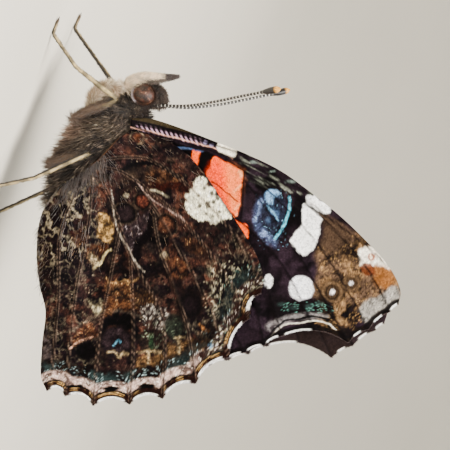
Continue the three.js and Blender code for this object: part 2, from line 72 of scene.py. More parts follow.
FOREWING = {
    "root": (5.7, 10.3),
    "lean": 10.8,
    "turned": 4.3,
    "scallop": 0.22,
    "ground": "#33242f",
    "seed": 17,
    "rough": 4.0,
    "grain": 0.16,
    "fringe_white": (0.3, 0.14, 0.12, 0.0, 0.36, 0.28, 0.28, 0.25),
    "front": [(-0.3, -0.5), (2.0, -1.8), (8.4, -3.3), (14.1, -4.3), (18.7, -4.2),
              (23.4, -3.7), (28.6, -2.5), (31.0, -1.2), (31.7, 0.1)],
    "tips": [(31.7, 0.1), (31.4, 1.2), (30.6, 3.8), (29.7, 6.0), (26.3, 6.8), (23.9, 9.1),
             (23.0, 10.8), (21.8, 12.5), (20.6, 14.2)],
    "hem": [(0.8, 1.7), (9.1, 7.6), (16.6, 12.6), (20.6, 14.2)],
    "veins": [
        [(0.2, -0.2), (3.6, -1.6), (7.0, -2.6), (11.2, -3.8)],
        [(0.2, 0.1), (3.5, -0.8), (9.0, -2.5), (14.7, -3.6), (18.8, -4.1)],
        [(9.0, -2.5), (11.8, -2.3), (17.6, -3.0), (24.6, -3.0), (28.8, -2.4)],
        [(17.6, -3.0), (20.7, -2.8), (26.7, -1.3), (31.4, 1.1)],
        [(11.8, -2.3), (15.7, -1.9), (21.8, -0.4), (27.4, 2.1), (30.6, 3.8)],
        [(12.3, -1.6), (15.0, -0.7), (21.2, 1.7), (24.6, 3.4), (29.7, 6.0)],
        [(0.4, 0.3), (5.2, 0.8), (9.8, 1.6), (14.3, 2.0), (20.2, 3.3), (26.3, 6.8)],
        [(12.6, 1.9), (16.4, 3.5), (20.3, 6.1), (23.9, 9.1)],
        [(8.8, 1.5), (12.6, 2.9), (18.0, 6.2), (23.0, 10.8)],
        [(0.5, 0.6), (10.1, 6.2), (17.5, 10.2), (21.8, 12.5)],
        [(11.8, -2.3), (13.2, 0.0), (14.3, 2.0)],
    ],
}
HINDWING = {
    "root": (11.0, 8.4),
    "lean": 50.2,
    "turned": 0.8,
    "scallop": 0.65,
    "ground": "#36221f",
    "seed": 53,
    "rough": 8.0,
    "grain": 0.28,
    "fringe_white": (0.2, 0.26, 0.3, 0.31, 0.31, 0.31, 0.31, 0.28),
    "front": [(-0.3, -0.9), (-2.0, -3.9), (-1.5, -6.0), (0.4, -8.4), (3.3, -10.1),
              (6.7, -11.2), (11.5, -12.6), (13.9, -13.0), (15.6, -12.9), (16.8, -12.3)],
    "tips": [(16.8, -12.3), (18.8, -10.5), (21.9, -7.5), (23.4, -3.6), (23.9, 0.0),
             (23.5, 3.3), (22.6, 6.8), (20.9, 9.2), (19.9, 10.8)],
    "hem": [(0.9, 3.6), (3.1, 6.2), (6.3, 7.7), (9.6, 8.4), (12.4, 8.6), (15.4, 9.9),
            (18.2, 10.9), (19.9, 10.8)],
    "veins": [
        [(-0.2, -0.8), (0.0, -3.0), (1.2, -5.8), (4.8, -8.6), (10.6, -11.5), (15.6, -12.6)],
        [(0.3, -0.8), (1.9, -3.1), (7.2, -6.7), (13.8, -9.4), (18.8, -10.5)],
        [(3.6, -4.2), (8.7, -5.4), (15.0, -6.8), (21.9, -7.5)],
        [(6.1, -4.4), (10.0, -4.0), (17.0, -4.4), (23.4, -3.6)],
        [(0.6, -0.4), (4.5, -0.8), (9.8, -1.0), (15.0, -2.2), (19.0, -1.7), (23.9, 0.0)],
        [(9.4, -1.0), (13.8, 0.1), (18.5, 1.4), (23.5, 3.3)],
        [(6.6, -0.8), (11.7, 1.9), (16.1, 4.2), (22.6, 6.8)],
        [(1.0, 0.3), (5.9, 2.3), (12.1, 5.5), (20.9, 9.2)],
        [(0.9, 1.2), (5.4, 4.9), (11.6, 7.0), (19.9, 10.5)],
    ],
}

# The marks on the undersides are placed in a side view of 450 by 450 points, 10.15 to a millimetre.
VIEW_SCALE = 10.15
FOREWING_IN_VIEW = ((131.0, 124.0), (0.8315, 0.5554))
HINDWING_IN_VIEW = ((92.0, 166.0), (0.2900, 0.9570))

FOREWING_PATCHES = {
    "costal_strip": [(128, 119), (158, 118), (190, 129), (223, 141), (219, 149), (200, 145), (165, 136),
                     (128, 127)],
    "lower_black": [(130, 131), (150, 134), (170, 140), (186, 146), (200, 150), (200, 160), (180, 156),
                    (150, 144), (130, 138)],
    "orange_bar": [(192, 150), (200, 152), (199, 160), (197, 167), (190, 160)],
    "cell_black": [(200, 151), (214, 155), (211, 166), (205, 177), (197, 167)],
    "orange": [(213, 156), (222, 160), (231, 164), (242, 171), (241, 185), (240, 200), (238, 208),
               (236, 217), (231, 217), (226, 211), (219, 199), (211, 187), (205, 176), (209, 167)],
    "orange_low": [(234, 221), (247, 226), (247, 240), (240, 234)],
    "coral": [(206, 172), (214, 160), (222, 168), (224, 190), (230, 214), (220, 202), (211, 188)],
    "pink_highlight": [(226, 163), (242, 171), (241, 187), (238, 206), (231, 211), (229, 196), (227, 178)],
    "white_costal": [(216, 149), (220, 143), (235, 149), (233, 157), (222, 153)],
    "blue": [(264, 196), (268, 190), (278, 190), (280, 194), (275, 198), (271, 205), (266, 201)],
    "blue_haze": [(260, 197), (276, 194), (286, 204), (285, 224), (277, 242), (266, 236), (258, 216)],
    "tip_shadow": [(322, 218), (344, 228), (362, 244), (358, 256), (340, 262), (326, 256), (318, 240)],
    "grey_band": [(257, 199), (262, 200), (259, 213), (262, 224), (268, 233), (276, 241), (276, 248),
                  (266, 243), (256, 231), (252, 216)],
    "white_main": [(303, 203), (312, 209), (322, 218), (320, 226), (318, 235), (316, 243), (312, 250),
                   (303, 255), (297, 250), (291, 243), (292, 236), (297, 230), (301, 226), (301, 215)],
    "white_top": [(308, 194), (317, 198), (330, 207), (328, 214), (318, 211), (306, 202)],
    "tip_ground": [(318, 213), (345, 226), (372, 245), (395, 268), (400, 288), (396, 300), (370, 300),
                   (340, 306), (312, 296), (318, 270), (314, 256), (322, 240), (324, 222)],
    "tip_orange": [(372, 262), (380, 260), (391, 270), (393, 284), (384, 288), (374, 282)],
    "tip_white": [(359, 250), (372, 247), (387, 262), (389, 268), (378, 264), (370, 267), (362, 266)],
    "tip_rust": [(361, 265), (372, 264), (374, 275), (362, 274)],
    "tip_grey": [(361, 303), (380, 295), (392, 285), (398, 291), (398, 300), (388, 308), (376, 314),
                 (366, 323), (360, 315)],
    "teal_dark": [(272, 296), (300, 300), (326, 298), (330, 314), (300, 317), (274, 320)],
    "low_white": [(266, 325), (280, 317), (295, 314), (312, 312), (326, 314), (326, 318), (296, 320),
                  (272, 330)],
}
FOREWING_STREAKS = {
    "radius": [(128, 127), (150, 131), (165, 135), (190, 141), (205, 145), (220, 150), (232, 158)],
    "bluish": [(172, 146), (186, 148), (202, 151)],
    "fold": [(211, 181), (222, 189), (237, 201)],
    "cyan": [(289, 196), (289, 206), (287, 217), (280, 231), (275, 238)],
    "hem_white": [(271, 336), (283, 325), (298, 323), (313, 320), (327, 323), (335, 329)],
    "hem_black": [(272, 330), (284, 321), (298, 319), (313, 316), (330, 319)],
    "blue_line": [(267, 206), (272, 212), (278, 220)],
    "top_grey": [(306, 200), (314, 206), (322, 213)],
}
FOREWING_SPOTS = {
    "fleck_a": (205, 142, 2.2, 1.5), "fleck_b": (211, 145, 2.4, 1.5), "fleck_c": (217, 147, 1.8, 1.4),
    "green_a": (253, 162, 4, 1.5), "green_b": (290, 181, 5, 1.6), "green_c": (272, 171, 3, 1.2),
    "blue_a": (272, 211, 3, 4), "blue_b": (268, 220, 2.5, 3.5), "blue_c": (277, 214, 2, 5),
    "oval_white": (268, 281, 4.8, 7.2), "round_white": (301, 288, 12.2, 12.6),
    "teal_a": (281, 304, 4, 2.2), "teal_b": (293, 308, 5, 2), "teal_c": (308, 306, 4, 2.4),
    "teal_d": (319, 303, 4, 2.2), "tip_ring": (371, 257, 3.6, 3.6),
}
EYESPOTS = (((332, 292), "#fff4f4", 12.4, 0.9), ((351, 283), "#d8d0cc", 10.0, 0.6))
EYESPOT_RINGS = ((1.0, "#2a1c12"), (0.84, "#8a6c4e"), (0.64, "#261811"), (0.42, "#6f5640"), (0.32, "#120b0a"))
HINDWING_PATCHES = {
    "humeral_pale": [(120, 174), (131, 170), (144, 168), (156, 169), (166, 176), (160, 184), (142, 180),
                     (124, 184)],
    "dark_middle": [(150, 235), (160, 233), (169, 238), (166, 246), (152, 244)],
    "cream_slash": [(196, 178), (201, 176), (216, 196), (230, 215), (228, 220), (212, 222), (197, 220),
                    (187, 214), (185, 203), (187, 194), (193, 188)],
    "side_cream": [(96, 214), (107, 215), (112, 228), (111, 240), (104, 242), (97, 236), (98, 226)],
    "side_cream_low": [(89, 254), (97, 256), (97, 268), (90, 268)],
    "rust_mid": [(165, 258), (178, 257), (188, 266), (187, 276), (172, 280)],
    "rust_low": [(107, 284), (118, 281), (131, 283), (133, 298), (118, 296), (107, 301)],
    "rust_side": [(102, 306), (112, 300), (124, 300), (136, 303), (141, 312), (128, 311), (116, 309),
                  (103, 317)],
    "grey_middle": [(142, 309), (152, 305), (166, 312), (168, 325), (156, 327), (145, 322)],
    "ochre_a": [(136, 356), (146, 356), (146, 367), (136, 367)],
    "ochre_b": [(151, 357), (163, 356), (163, 366), (151, 368)],
    "ochre_c": [(165, 347), (177, 346), (176, 358), (166, 361)],
    "tip_dark": [(222, 262), (246, 262), (262, 276), (263, 306), (252, 336), (236, 348), (222, 330),
                 (214, 300)],
    "teal_tip": [(234, 274), (246, 270), (251, 278), (245, 285), (235, 284)],
    "teal_tip_low": [(224, 306), (236, 302), (238, 316), (226, 320)],
    "brown_column": [(150, 245), (168, 246), (176, 300), (170, 330), (154, 324), (148, 286)],
    "dark_column": [(60, 190), (84, 182), (98, 214), (94, 262), (78, 304), (58, 300), (48, 250)],
    "ochre_d": [(181, 342), (192, 340), (193, 351), (181, 352)],
    "ochre_e": [(195, 341), (206, 338), (207, 347), (196, 350)],
    "upper_tan": [(148, 172), (160, 170), (178, 175), (180, 181), (165, 181), (150, 181)],
    "upper_maroon": [(152, 183), (168, 181), (186, 184), (188, 194), (172, 190), (154, 192)],
    "grey_cell": [(127, 222), (140, 214), (151, 212), (152, 222), (146, 233), (136, 242), (128, 252),
                  (123, 238), (120, 228)],
    "side_rust": [(87, 246), (100, 243), (107, 246), (102, 256), (92, 264), (86, 258)],
    "left_rust": [(72, 230), (84, 229), (87, 240), (82, 247), (73, 244)],
    "rust_right": [(180, 239), (196, 241), (209, 250), (204, 257), (190, 252)],
    "rust_eye": [(72, 340), (80, 328), (87, 323), (96, 330), (95, 338), (84, 338), (75, 345)],
    "brown_right": [(133, 290), (150, 290), (155, 303), (137, 303)],
    "black_cap": [(99, 331), (105, 319), (117, 313), (127, 314), (136, 322), (139, 331), (136, 341),
                  (131, 336), (124, 327), (115, 325), (106, 329), (101, 337)],
    "cream_nick": [(90, 300), (96, 305), (101, 300), (101, 310), (97, 314), (91, 308)],
    "hem_grey": [(42, 336), (47, 330), (51, 345), (50, 370), (46, 384), (41, 372)],
}
HINDWING_STREAKS = {
    "humeral_arc": [(120, 171), (130, 165), (142, 163), (155, 164), (168, 170), (180, 178)],
    "pale_upper": [(134, 179), (143, 190), (151, 199), (164, 207), (177, 215), (184, 221)],
    "pale_lower": [(110, 190), (112, 204), (114, 220), (119, 234), (127, 248), (132, 258), (138, 266),
                   (144, 272)],
    "cream_line": [(150, 190), (159, 192), (168, 197)],
    "hook": [(130, 138), (132, 133), (138, 131), (143, 135), (142, 141), (137, 144)],
    "dark_wave": [(97, 262), (112, 270), (130, 262), (148, 274), (164, 268), (182, 292), (204, 286),
                  (222, 300)],
    "pale_wave": [(72, 330), (92, 318), (118, 310), (144, 318), (168, 316), (190, 326), (214, 318)],
    "orange_arc": [(69, 349), (74, 344), (81, 340), (92, 337)],
    "chevron": [(112, 346), (116, 341), (118, 340), (120, 343)],
    "ochre_arc": [(107, 352), (114, 352), (118, 357), (122, 353), (127, 354)],
    "net_a": [(226, 276), (238, 292), (256, 290)],
    "net_b": [(222, 300), (240, 299), (258, 306)],
    "net_c": [(226, 330), (238, 324), (250, 328)],
    "net_d": [(222, 345), (236, 340), (245, 345)],
    "black_bend": [(153, 214), (151, 226), (146, 236), (138, 244), (135, 258)],
    "side_line": [(110, 250), (104, 254), (100, 262), (93, 268)],
    "cream_a": [(148, 353), (148, 364)],
    "cream_b": [(138, 352), (148, 351), (160, 353)],
    "cream_c": [(179, 337), (179, 353)],
    "cream_d": [(175, 338), (184, 337)],
    "tan_dash": [(199, 324), (204, 329), (208, 331)],
}
HINDWING_SPOTS = {
    "ring_upper": (142, 201, 7.4, 7), "ring_dark": (124, 213, 9.6, 9.2), "ring_brown": (165, 225, 9.6, 9.6),
    "cream_dot": (125, 195, 2.6, 2.2), "cream_low": (163, 255, 4, 3), "hook_rust": (137, 138, 4.5, 4.5),
    "eye_side": (190, 305, 12, 13), "eye_big": (115.5, 342, 14, 14), "eye_low": (85, 351, 11, 9),
    "green": (150, 341, 11, 11), "green_small": (174, 327, 9, 12), "fleck_blue": (210, 345, 2.4, 2.6),
    "crescent_a": (75, 386.5, 8, 2.2), "crescent_b": (110.5, 388.5, 9, 2.4), "crescent_c": (147, 386, 9, 2.6),
    "crescent_d": (180, 377.5, 9, 2.6), "speck_a": (204, 188, 2, 2.4), "speck_b": (213, 202, 2.2, 2.4),
    "speck_c": (199, 206, 2, 2), "speck_d": (219, 212, 2.4, 2), "speck_e": (206, 214, 2, 1.8),
    "green_stripe": (151, 342, 2.6, 8), "green_dust": (162, 335, 24, 14),
}
# A window fades over each pair of places; a slanted strip has its slope and where it starts and ends.
FOREWING_WINDOWS = {
    "bars": {"left": (132, 142), "right": (192, 208)},
    # Where the painted sheen lies on the orange patch.
    "glinting": {"left": (228, 240)},
    "costal": {"left": (236, 246), "right": (306, 326)},
    "blue": {"left": (250, 258), "right": (290, 298), "top": (188, 196), "bottom": (244, 256)},
    "tip": {"left": (312, 326), "top": (222, 236)},
    "teal": {"left": (276, 284), "right": (326, 340), "top": (300, 304), "bottom": (310, 315)},
}
HINDWING_WINDOWS = {
    "side": {"right": (84, 104)},
    "above": {"bottom": (254, 274)},
    "tip": {"left": (200, 220), "top": (255, 272)},
    "lower": {"top": (350, 372)},
}
COSTAL_SLANT = ((-0.52, 1.0), (42, 54))
OUTER_SLANT = ((1.0, 0.55), (340, 380))
SLASH_SLANT = ((0.8, -0.6), (26, 44))
BARS_LIE = (0.96, -0.35)
BAR_STEP = 4.3
HINDWING_BROWNS = (
    ("rust_mid", "#7c4c32", 0.7), ("rust_low", "#865836", 0.75), ("left_rust", "#4c241c", 0.8),
    ("rust_side", "#7e4f30", 0.75), ("side_rust", "#6c4024", 0.75), ("rust_right", "#6c4632", 0.65),
    ("rust_eye", "#90583a", 0.8), ("brown_right", "#60422a", 0.7),
)
# A band of teeth: from and to across the wing, its level, the step, the colour, the width and how strong.
HINDWING_TEETH = (
    (103, 210, 272, 9, "#150b0d", 2.6, 0.85),
    (98, 196, 292, 9, "#150b0d", 2.2, 0.75),
    (150, 226, 247, 8, "#150b0d", 2.0, 0.7),
    (104, 136, 281, 8, "#c79a62", 1.2, 0.6),
)
# The upper sides' marks are in each wing's own millimetres, out and back.
UPPER_GROUND = "#1d1413"
FOREWING_BAND = [(13.6, -3.0), (15.6, -0.6), (17.4, 3.0), (18.4, 7.0), (19.6, 11.6)]
FOREWING_BAND_WIDE = 3.3
FOREWING_WHITE_BAR = [(20.2, -3.6), (22.6, -3.4), (23.4, -1.4), (22.6, 0.9), (21.2, 0.7), (20.9, -1.4)]
FOREWING_WHITE_SPOTS = ((27.2, -0.6, 0.8, 0.45), (27.0, 1.6, 0.55, 0.5), (25.2, 3.2, 0.5, 0.4),
                        (23.0, 4.9, 0.8, 0.75))
HINDWING_BLACK_DOTS = ((19.2, -6.6), (21.2, -3.4), (21.9, 0.3), (21.4, 3.4))
HINDWING_BLUE_DOTS = ((20.2, 6.6), (19.2, 9.0))
# How many hairs a small coat has, and half the thickness of one at its root.
EYE_HAIRS = (1500, 0.009)
EYE_RIM_HAIRS = (900, 0.02)
PALP_HAIRS = (3200, 0.02)
LEG_HAIRS = (2200, 0.016)
BRUSH_HAIRS = (2600, 0.02)
WING_HAIR_THICK = 0.026
FRINGE_STEP = 0.02
FRINGE_LONG = (0.12, 0.19)
FRINGE_THICK = 0.022
SKIN_VOXEL = 0.14
# Fillings that join the head to the chest and the chest to the abdomen: a place and three radii.
SKIN_JOINS = (((0.0, 3.5, 9.7), (1.15, 1.3, 1.35)), ((0.0, 15.2, 6.9), (1.35, 1.6, 1.4)))
FOREWING_GRID = (316, 124)
HINDWING_GRID = (232, 190)
LEGS = {
    "midleg_left": [(1.1, 7.9, 5.4), (1.5, 7.3, 4.6), (3.3, 4.0, 8.1), (4.6, 2.7, 3.4), (5.4, 0.6, 0.25),
                    (5.6, -0.9, 0.2)],
    "midleg_right": [(-1.1, 7.9, 5.4), (-1.5, 7.3, 4.6), (-3.3, 3.3, 7.7), (-4.7, 0.9, 3.7),
                     (-5.8, -1.2, 0.25), (-6.1, -2.7, 0.2)],
    "hindleg_left": [(1.1, 12.0, 4.9), (1.6, 12.4, 4.0), (3.5, 10.0, 7.7), (4.8, 14.3, 3.9),
                     (6.0, 17.0, 0.25), (6.3, 18.5, 0.2)],
    "hindleg_right": [(-1.1, 12.0, 4.9), (-1.6, 12.4, 4.0), (-3.5, 10.6, 7.5), (-5.1, 15.2, 4.0),
                      (-6.0, 19.2, 0.25), (-6.3, 20.7, 0.2)],
}
# A leg's hip, thigh, shin, long foot and toes are made in so many steps.
LEG_STEPS = (10, 26, 26, 24, 12)
ANKLE = sum(LEG_STEPS[:3]) / sum(LEG_STEPS)
FOOT_SEGMENTS = 5
LEG_DOWN = ([0, 0.1, 0.3, 0.38, 0.62, 1], [0.8, 0.8, 0.6, 0.24, 0.2, 0.16])
FORELEG = [(0.9, 6.2, 6.1), (1.1, 4.6, 5.7), (1.2, 3.4, 6.2), (1.35, 2.9, 7.0), (1.5, 3.1, 7.7)]
FORELEG_SIZES = (0.27, 0.32, 0.32, 0.26, 0.16)
PALP = [(0.85, 2.5, 8.15), (0.85, 1.75, 8.6), (0.78, 0.95, 9.5), (0.62, 0.4, 10.7), (0.48, -0.05, 11.7),
        (0.4, -0.5, 12.5)]
PALP_SIZES = (0.3, 0.44, 0.46, 0.38, 0.26, 0.1)
ANTENNA = [(0.5, 2.9, 11.9), (1.5, 1.9, 14.6), (2.9, 0.6, 17.0), (4.1, -0.7, 19.1), (5.3, -1.85, 21.0),
           (6.4, -2.95, 22.85)]
ANTENNA_RIGHT_FORWARD = 1.0
FEELER_RINGS = 36
FEELER_RADIUS = 0.125
CLUB_RADIUS = 0.34
TONGUE_AT = (0.0, 1.55, 8.9)
TONGUE_RADIUS = 0.56
TONGUE_TURNS = 3.2

# The camera looks at the left side with the head up, and frames so many millimetres across.
CAMERA_RISE = 4.0
VIEW_RIGHT = (0.0, -0.389, 0.921)
VIEW_MIDDLE = (1.5, 11.25, 22.7)
VIEW_WIDE = 44.3
# Metres: the lights' places, and how far behind the part the floor runs flat before it bends up.
KEY_AT = (0.16, -0.06, 0.30)
FILL_AT = (0.34, 0.10, 0.10)
BACK_AT = (-0.22, 0.12, 0.22)
FLOOR_FLAT = 0.25
BEND_LONG = 0.3
BEND_RADIUS = 0.25


def rgb(code):
    """The linear colour of a hex code."""
    parts = [int(code[k:k + 2], 16) / 255 for k in (1, 3, 5)]
    return tuple(c / 12.92 if c <= 0.04045 else ((c + 0.055) / 1.055) ** 2.4 for c in parts)


low_eye, high_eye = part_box("eye_left")
low_far, high_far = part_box("eye_right")
SHIFT = np.array([
    (low_eye.x + high_eye.x + low_far.x + high_far.x) / 4 / MM,
    (low_eye.y + high_eye.y) / 2 / MM - EYE_AT[1],
    0.0,
])


def metres(points):
    """Design millimetres to metres in the solids' frame."""
    return (np.asarray(points, float) + SHIFT) * MM


def millimetres(points):
    """Metres in the solids' frame to design millimetres."""
    return np.asarray(points, float) / MM - SHIFT


def ink(code):
    """The linear colour of a hex code, for sums over many points."""
    return np.array(rgb(code))


def unit(vectors):
    return vectors / np.maximum(np.linalg.norm(vectors, axis=-1, keepdims=True), 1e-9)


def ramp(value, start, end):
    """0 before start, 1 after end, smooth between."""
    t = np.clip((value - start) / (end - start), 0, 1)
    return t * t * (3 - 2 * t)


def fall(value, start, end):
    """1 before start, 0 after end, smooth between."""
    return 1 - ramp(value, start, end)


def mix(first, second, share):
    """The first where the share is 0 and the second where it is 1."""
    return first * (1 - share) + second * share


def uneven(colours, rng, amount, mean=0.0):
    """Each colour a little lighter or darker than the next."""
    return colours * np.exp(rng.normal(mean, amount, len(colours)))[:, None]


def curve(corners, per):
    """Points on a smooth curve from the second to the third of each four corners."""
    out = []
    for a, b, c, d in corners:
        for t in np.arange(per) / per:
            cubic = (3 * b - a - 3 * c + d) * t ** 3
            out.append(0.5 * (2 * b + (c - a) * t + (2 * a - 5 * b + 4 * c - d) * t ** 2 + cubic))
    return out


def smooth_line(points, per=12):
    """A smooth line through the points."""
    p = np.asarray(points, float)
    q = np.vstack([2 * p[0] - p[1], p, 2 * p[-1] - p[-2]])
    return np.array(curve(zip(q, q[1:], q[2:], q[3:]), per) + [p[-1]])


def smooth_loop(points, per=5):
    """A smooth closed outline through the points."""
    p = np.asarray(points, float)
    return np.array(curve(zip(*(np.roll(p, step, 0) for step in (1, 0, -1, -2))), per))


def along_line(line, shares):
    """Points at the given shares of a line's length."""
    steps = np.linalg.norm(np.diff(line, axis=0), axis=1)
    length = np.concatenate([[0], np.cumsum(steps)])
    want = np.asarray(shares) * length[-1]
    return np.stack([np.interp(want, length, line[:, k]) for k in range(line.shape[1])], -1)


def distance_to(line, x, y, closed=False):
    """Each point's distance to a line."""
    ends = np.roll(line, -1, 0) if closed else line[1:]
    far = np.full(x.shape, 1e9)
    for (ax, ay), (bx, by) in zip(line, ends):
        ex, ey = bx - ax, by - ay
        t = np.clip(((x - ax) * ex + (y - ay) * ey) / (ex * ex + ey * ey + 1e-12), 0, 1)
        far = np.minimum(far, np.hypot(x - ax - ex * t, y - ay - ey * t))
    return far


def inside_of(line, x, y):
    """Which points lie inside a closed outline."""
    odd = np.zeros(x.shape, bool)
    for (ax, ay), (bx, by) in zip(line, np.roll(line, -1, 0)):
        if ay == by:
            continue
        odd ^= ((ay > y) != (by > y)) & (x < (bx - ax) * (y - ay) / (by - ay) + ax)
    return odd


def clouds(x, y, size, seed, layers=3):
    """Seeded soft noise from 0 to 1, its biggest lumps about size wide."""
    total = np.zeros(x.shape)
    weight = 0.0
    for layer in range(layers):
        table = np.random.default_rng(seed * 7 + layer).random((64, 64))
        gx = x / size * 2 ** layer + 1000.0
        gy = y / size * 2 ** layer + 1000.0
        ix = np.floor(gx).astype(int)
        iy = np.floor(gy).astype(int)
        fx = gx - ix
        fy = gy - iy
        fx = fx * fx * (3 - 2 * fx)
        fy = fy * fy * (3 - 2 * fy)
        a = table[ix % 64, iy % 64] * (1 - fx) + table[(ix + 1) % 64, iy % 64] * fx
        b = table[ix % 64, (iy + 1) % 64] * (1 - fx) + table[(ix + 1) % 64, (iy + 1) % 64] * fx
        total += (a * (1 - fy) + b * fy) / 2 ** layer
        weight += 1 / 2 ** layer
    return total / weight


class Marks:
    """Colours laid one over another on the points of a wing's face."""

    def __init__(self, places, shape, ground, seed, rag, rough=3.4):
        self.x = places[:, 0]
        self.y = places[:, 1]
        self.vein, self.edge, self.phase, self.white = shape
        self.seed = seed
        wide = clouds(self.x, self.y, 5 * rag, seed + 1) - 0.5
        high = clouds(self.x, self.y, 5 * rag, seed + 2) - 0.5
        self.wx = self.x + wide * rough * rag
        self.wy = self.y + high * rough * rag
        self.lx = self.x + wide * 2.2 * rag
        self.ly = self.y + high * 2.2 * rag
        self.rgb = np.tile(ink(ground), (len(places), 1))

    def lay(self, code, share):
        share = np.clip(share, 0, 1)[:, None]
        self.rgb = mix(self.rgb, ink(code), share)

    def cloud(self, code, size, start, end, full=1.0, where=1.0):
        self.seed += 5
        self.lay(code, ramp(clouds(self.x, self.y, size, self.seed), start, end) * full * where)

    def window(self, left=None, right=None, top=None, bottom=None):
        """1 inside a window, fading over each pair of places that is given."""
        share = np.ones(len(self.x))
        if left:
            share *= ramp(self.x, *left)
        if right:
            share *= fall(self.x, *right)
        if top:
            share *= ramp(self.y, *top)
        if bottom:
            share *= fall(self.y, *bottom)
        return share

    def slant(self, strip):
        """0 to 1 across a slanted strip."""
        (by_x, by_y), (start, end) = strip
        return ramp(self.x * by_x + self.y * by_y, start, end)

    def far_from(self, place):
        """The distance from an oval's middle, 1 at its edge."""
        x, y, wide, high = place
        return np.hypot((self.x - x) / wide, (self.y - y) / high)

    def patch(self, corners, code, soft=1.1, full=1.0):
        line = smooth_loop(corners)
        low = line.min(0) - 3 * soft
        high = line.max(0) + 3 * soft
        near = (self.wx > low[0]) & (self.wx < high[0]) & (self.wy > low[1]) & (self.wy < high[1])
        x = self.wx[near]
        y = self.wy[near]
        far = distance_to(line, x, y, closed=True)
        share = np.zeros(len(self.x))
        share[near] = ramp(np.where(inside_of(line, x, y), far, -far), -soft, soft)
        self.lay(code, share * full)
        return share

    def spot(self, place, code, soft=0.16, full=1.0, grown=1.0, within=0.0):
        x, y, wide, high = place
        share = np.hypot((self.lx - x) / (wide * grown), (self.ly - y) / (high * grown))
        body = fall(share, 1 - soft, 1 + soft)
        if within:
            body = body * ramp(share, within - soft, within + soft)
        self.lay(code, body * full)

    def streak(self, points, width, code, full=1.0, soft=0.7):
        far = distance_to(smooth_line(points, 6), self.lx, self.ly)
        self.lay(code, fall(far, width / 2 - soft / 2, width / 2 + soft) * full)

    def fleck(self, code, chance, where):
        """Single scales of another colour, strewn over a part of the wing."""
        self.seed += 3
        rng = np.random.default_rng(self.seed)
        drift = ramp(clouds(self.x, self.y, 4.0, self.seed, 2), 0.35, 0.65)
        here = rng.random(len(self.x)) < 1.8 * chance * where * drift
        self.lay(code, here * (0.15 + 0.5 * rng.random(len(self.x))))

    def zigzag(self, start, end, level, step, code, width, full):
        """A band of teeth across the cells."""
        count = int((end - start) / step)
        lift = np.random.default_rng(int(level)).uniform(0.5, 1.2, count + 1)
        teeth = [(start + k * step, level + (k % 2 * 7 - 3.5) * lift[k]) for k in range(count + 1)]
        far = distance_to(np.array(teeth, float), self.wx, self.wy)
        self.lay(code, fall(far, width / 2 - 0.6, width / 2 + 1.2) * full)

    def deepen(self):
        """Dark scales swallow more light than pale ones."""
        level = self.rgb.mean(1, keepdims=True)
        self.rgb = self.rgb * (0.2 + 0.8 * np.clip(level / 0.28, 0, 1))

    def grain(self, amount, seed):
        """Each scale a little lighter or darker than its neighbours."""
        self.rgb = uneven(self.rgb, np.random.default_rng(seed), amount)


def wing_in_view(plan, local):
    """A wing's own places, out and back in millimetres, to the side view that the marks are placed in."""
    (left, top), (out_x, out_y) = FOREWING_IN_VIEW if plan is FOREWING else HINDWING_IN_VIEW
    out = local[:, 0] * VIEW_SCALE
    back = local[:, 1] * VIEW_SCALE
    return np.stack([left + out * out_x - back * out_y, top + out * out_y + back * out_x], 1)


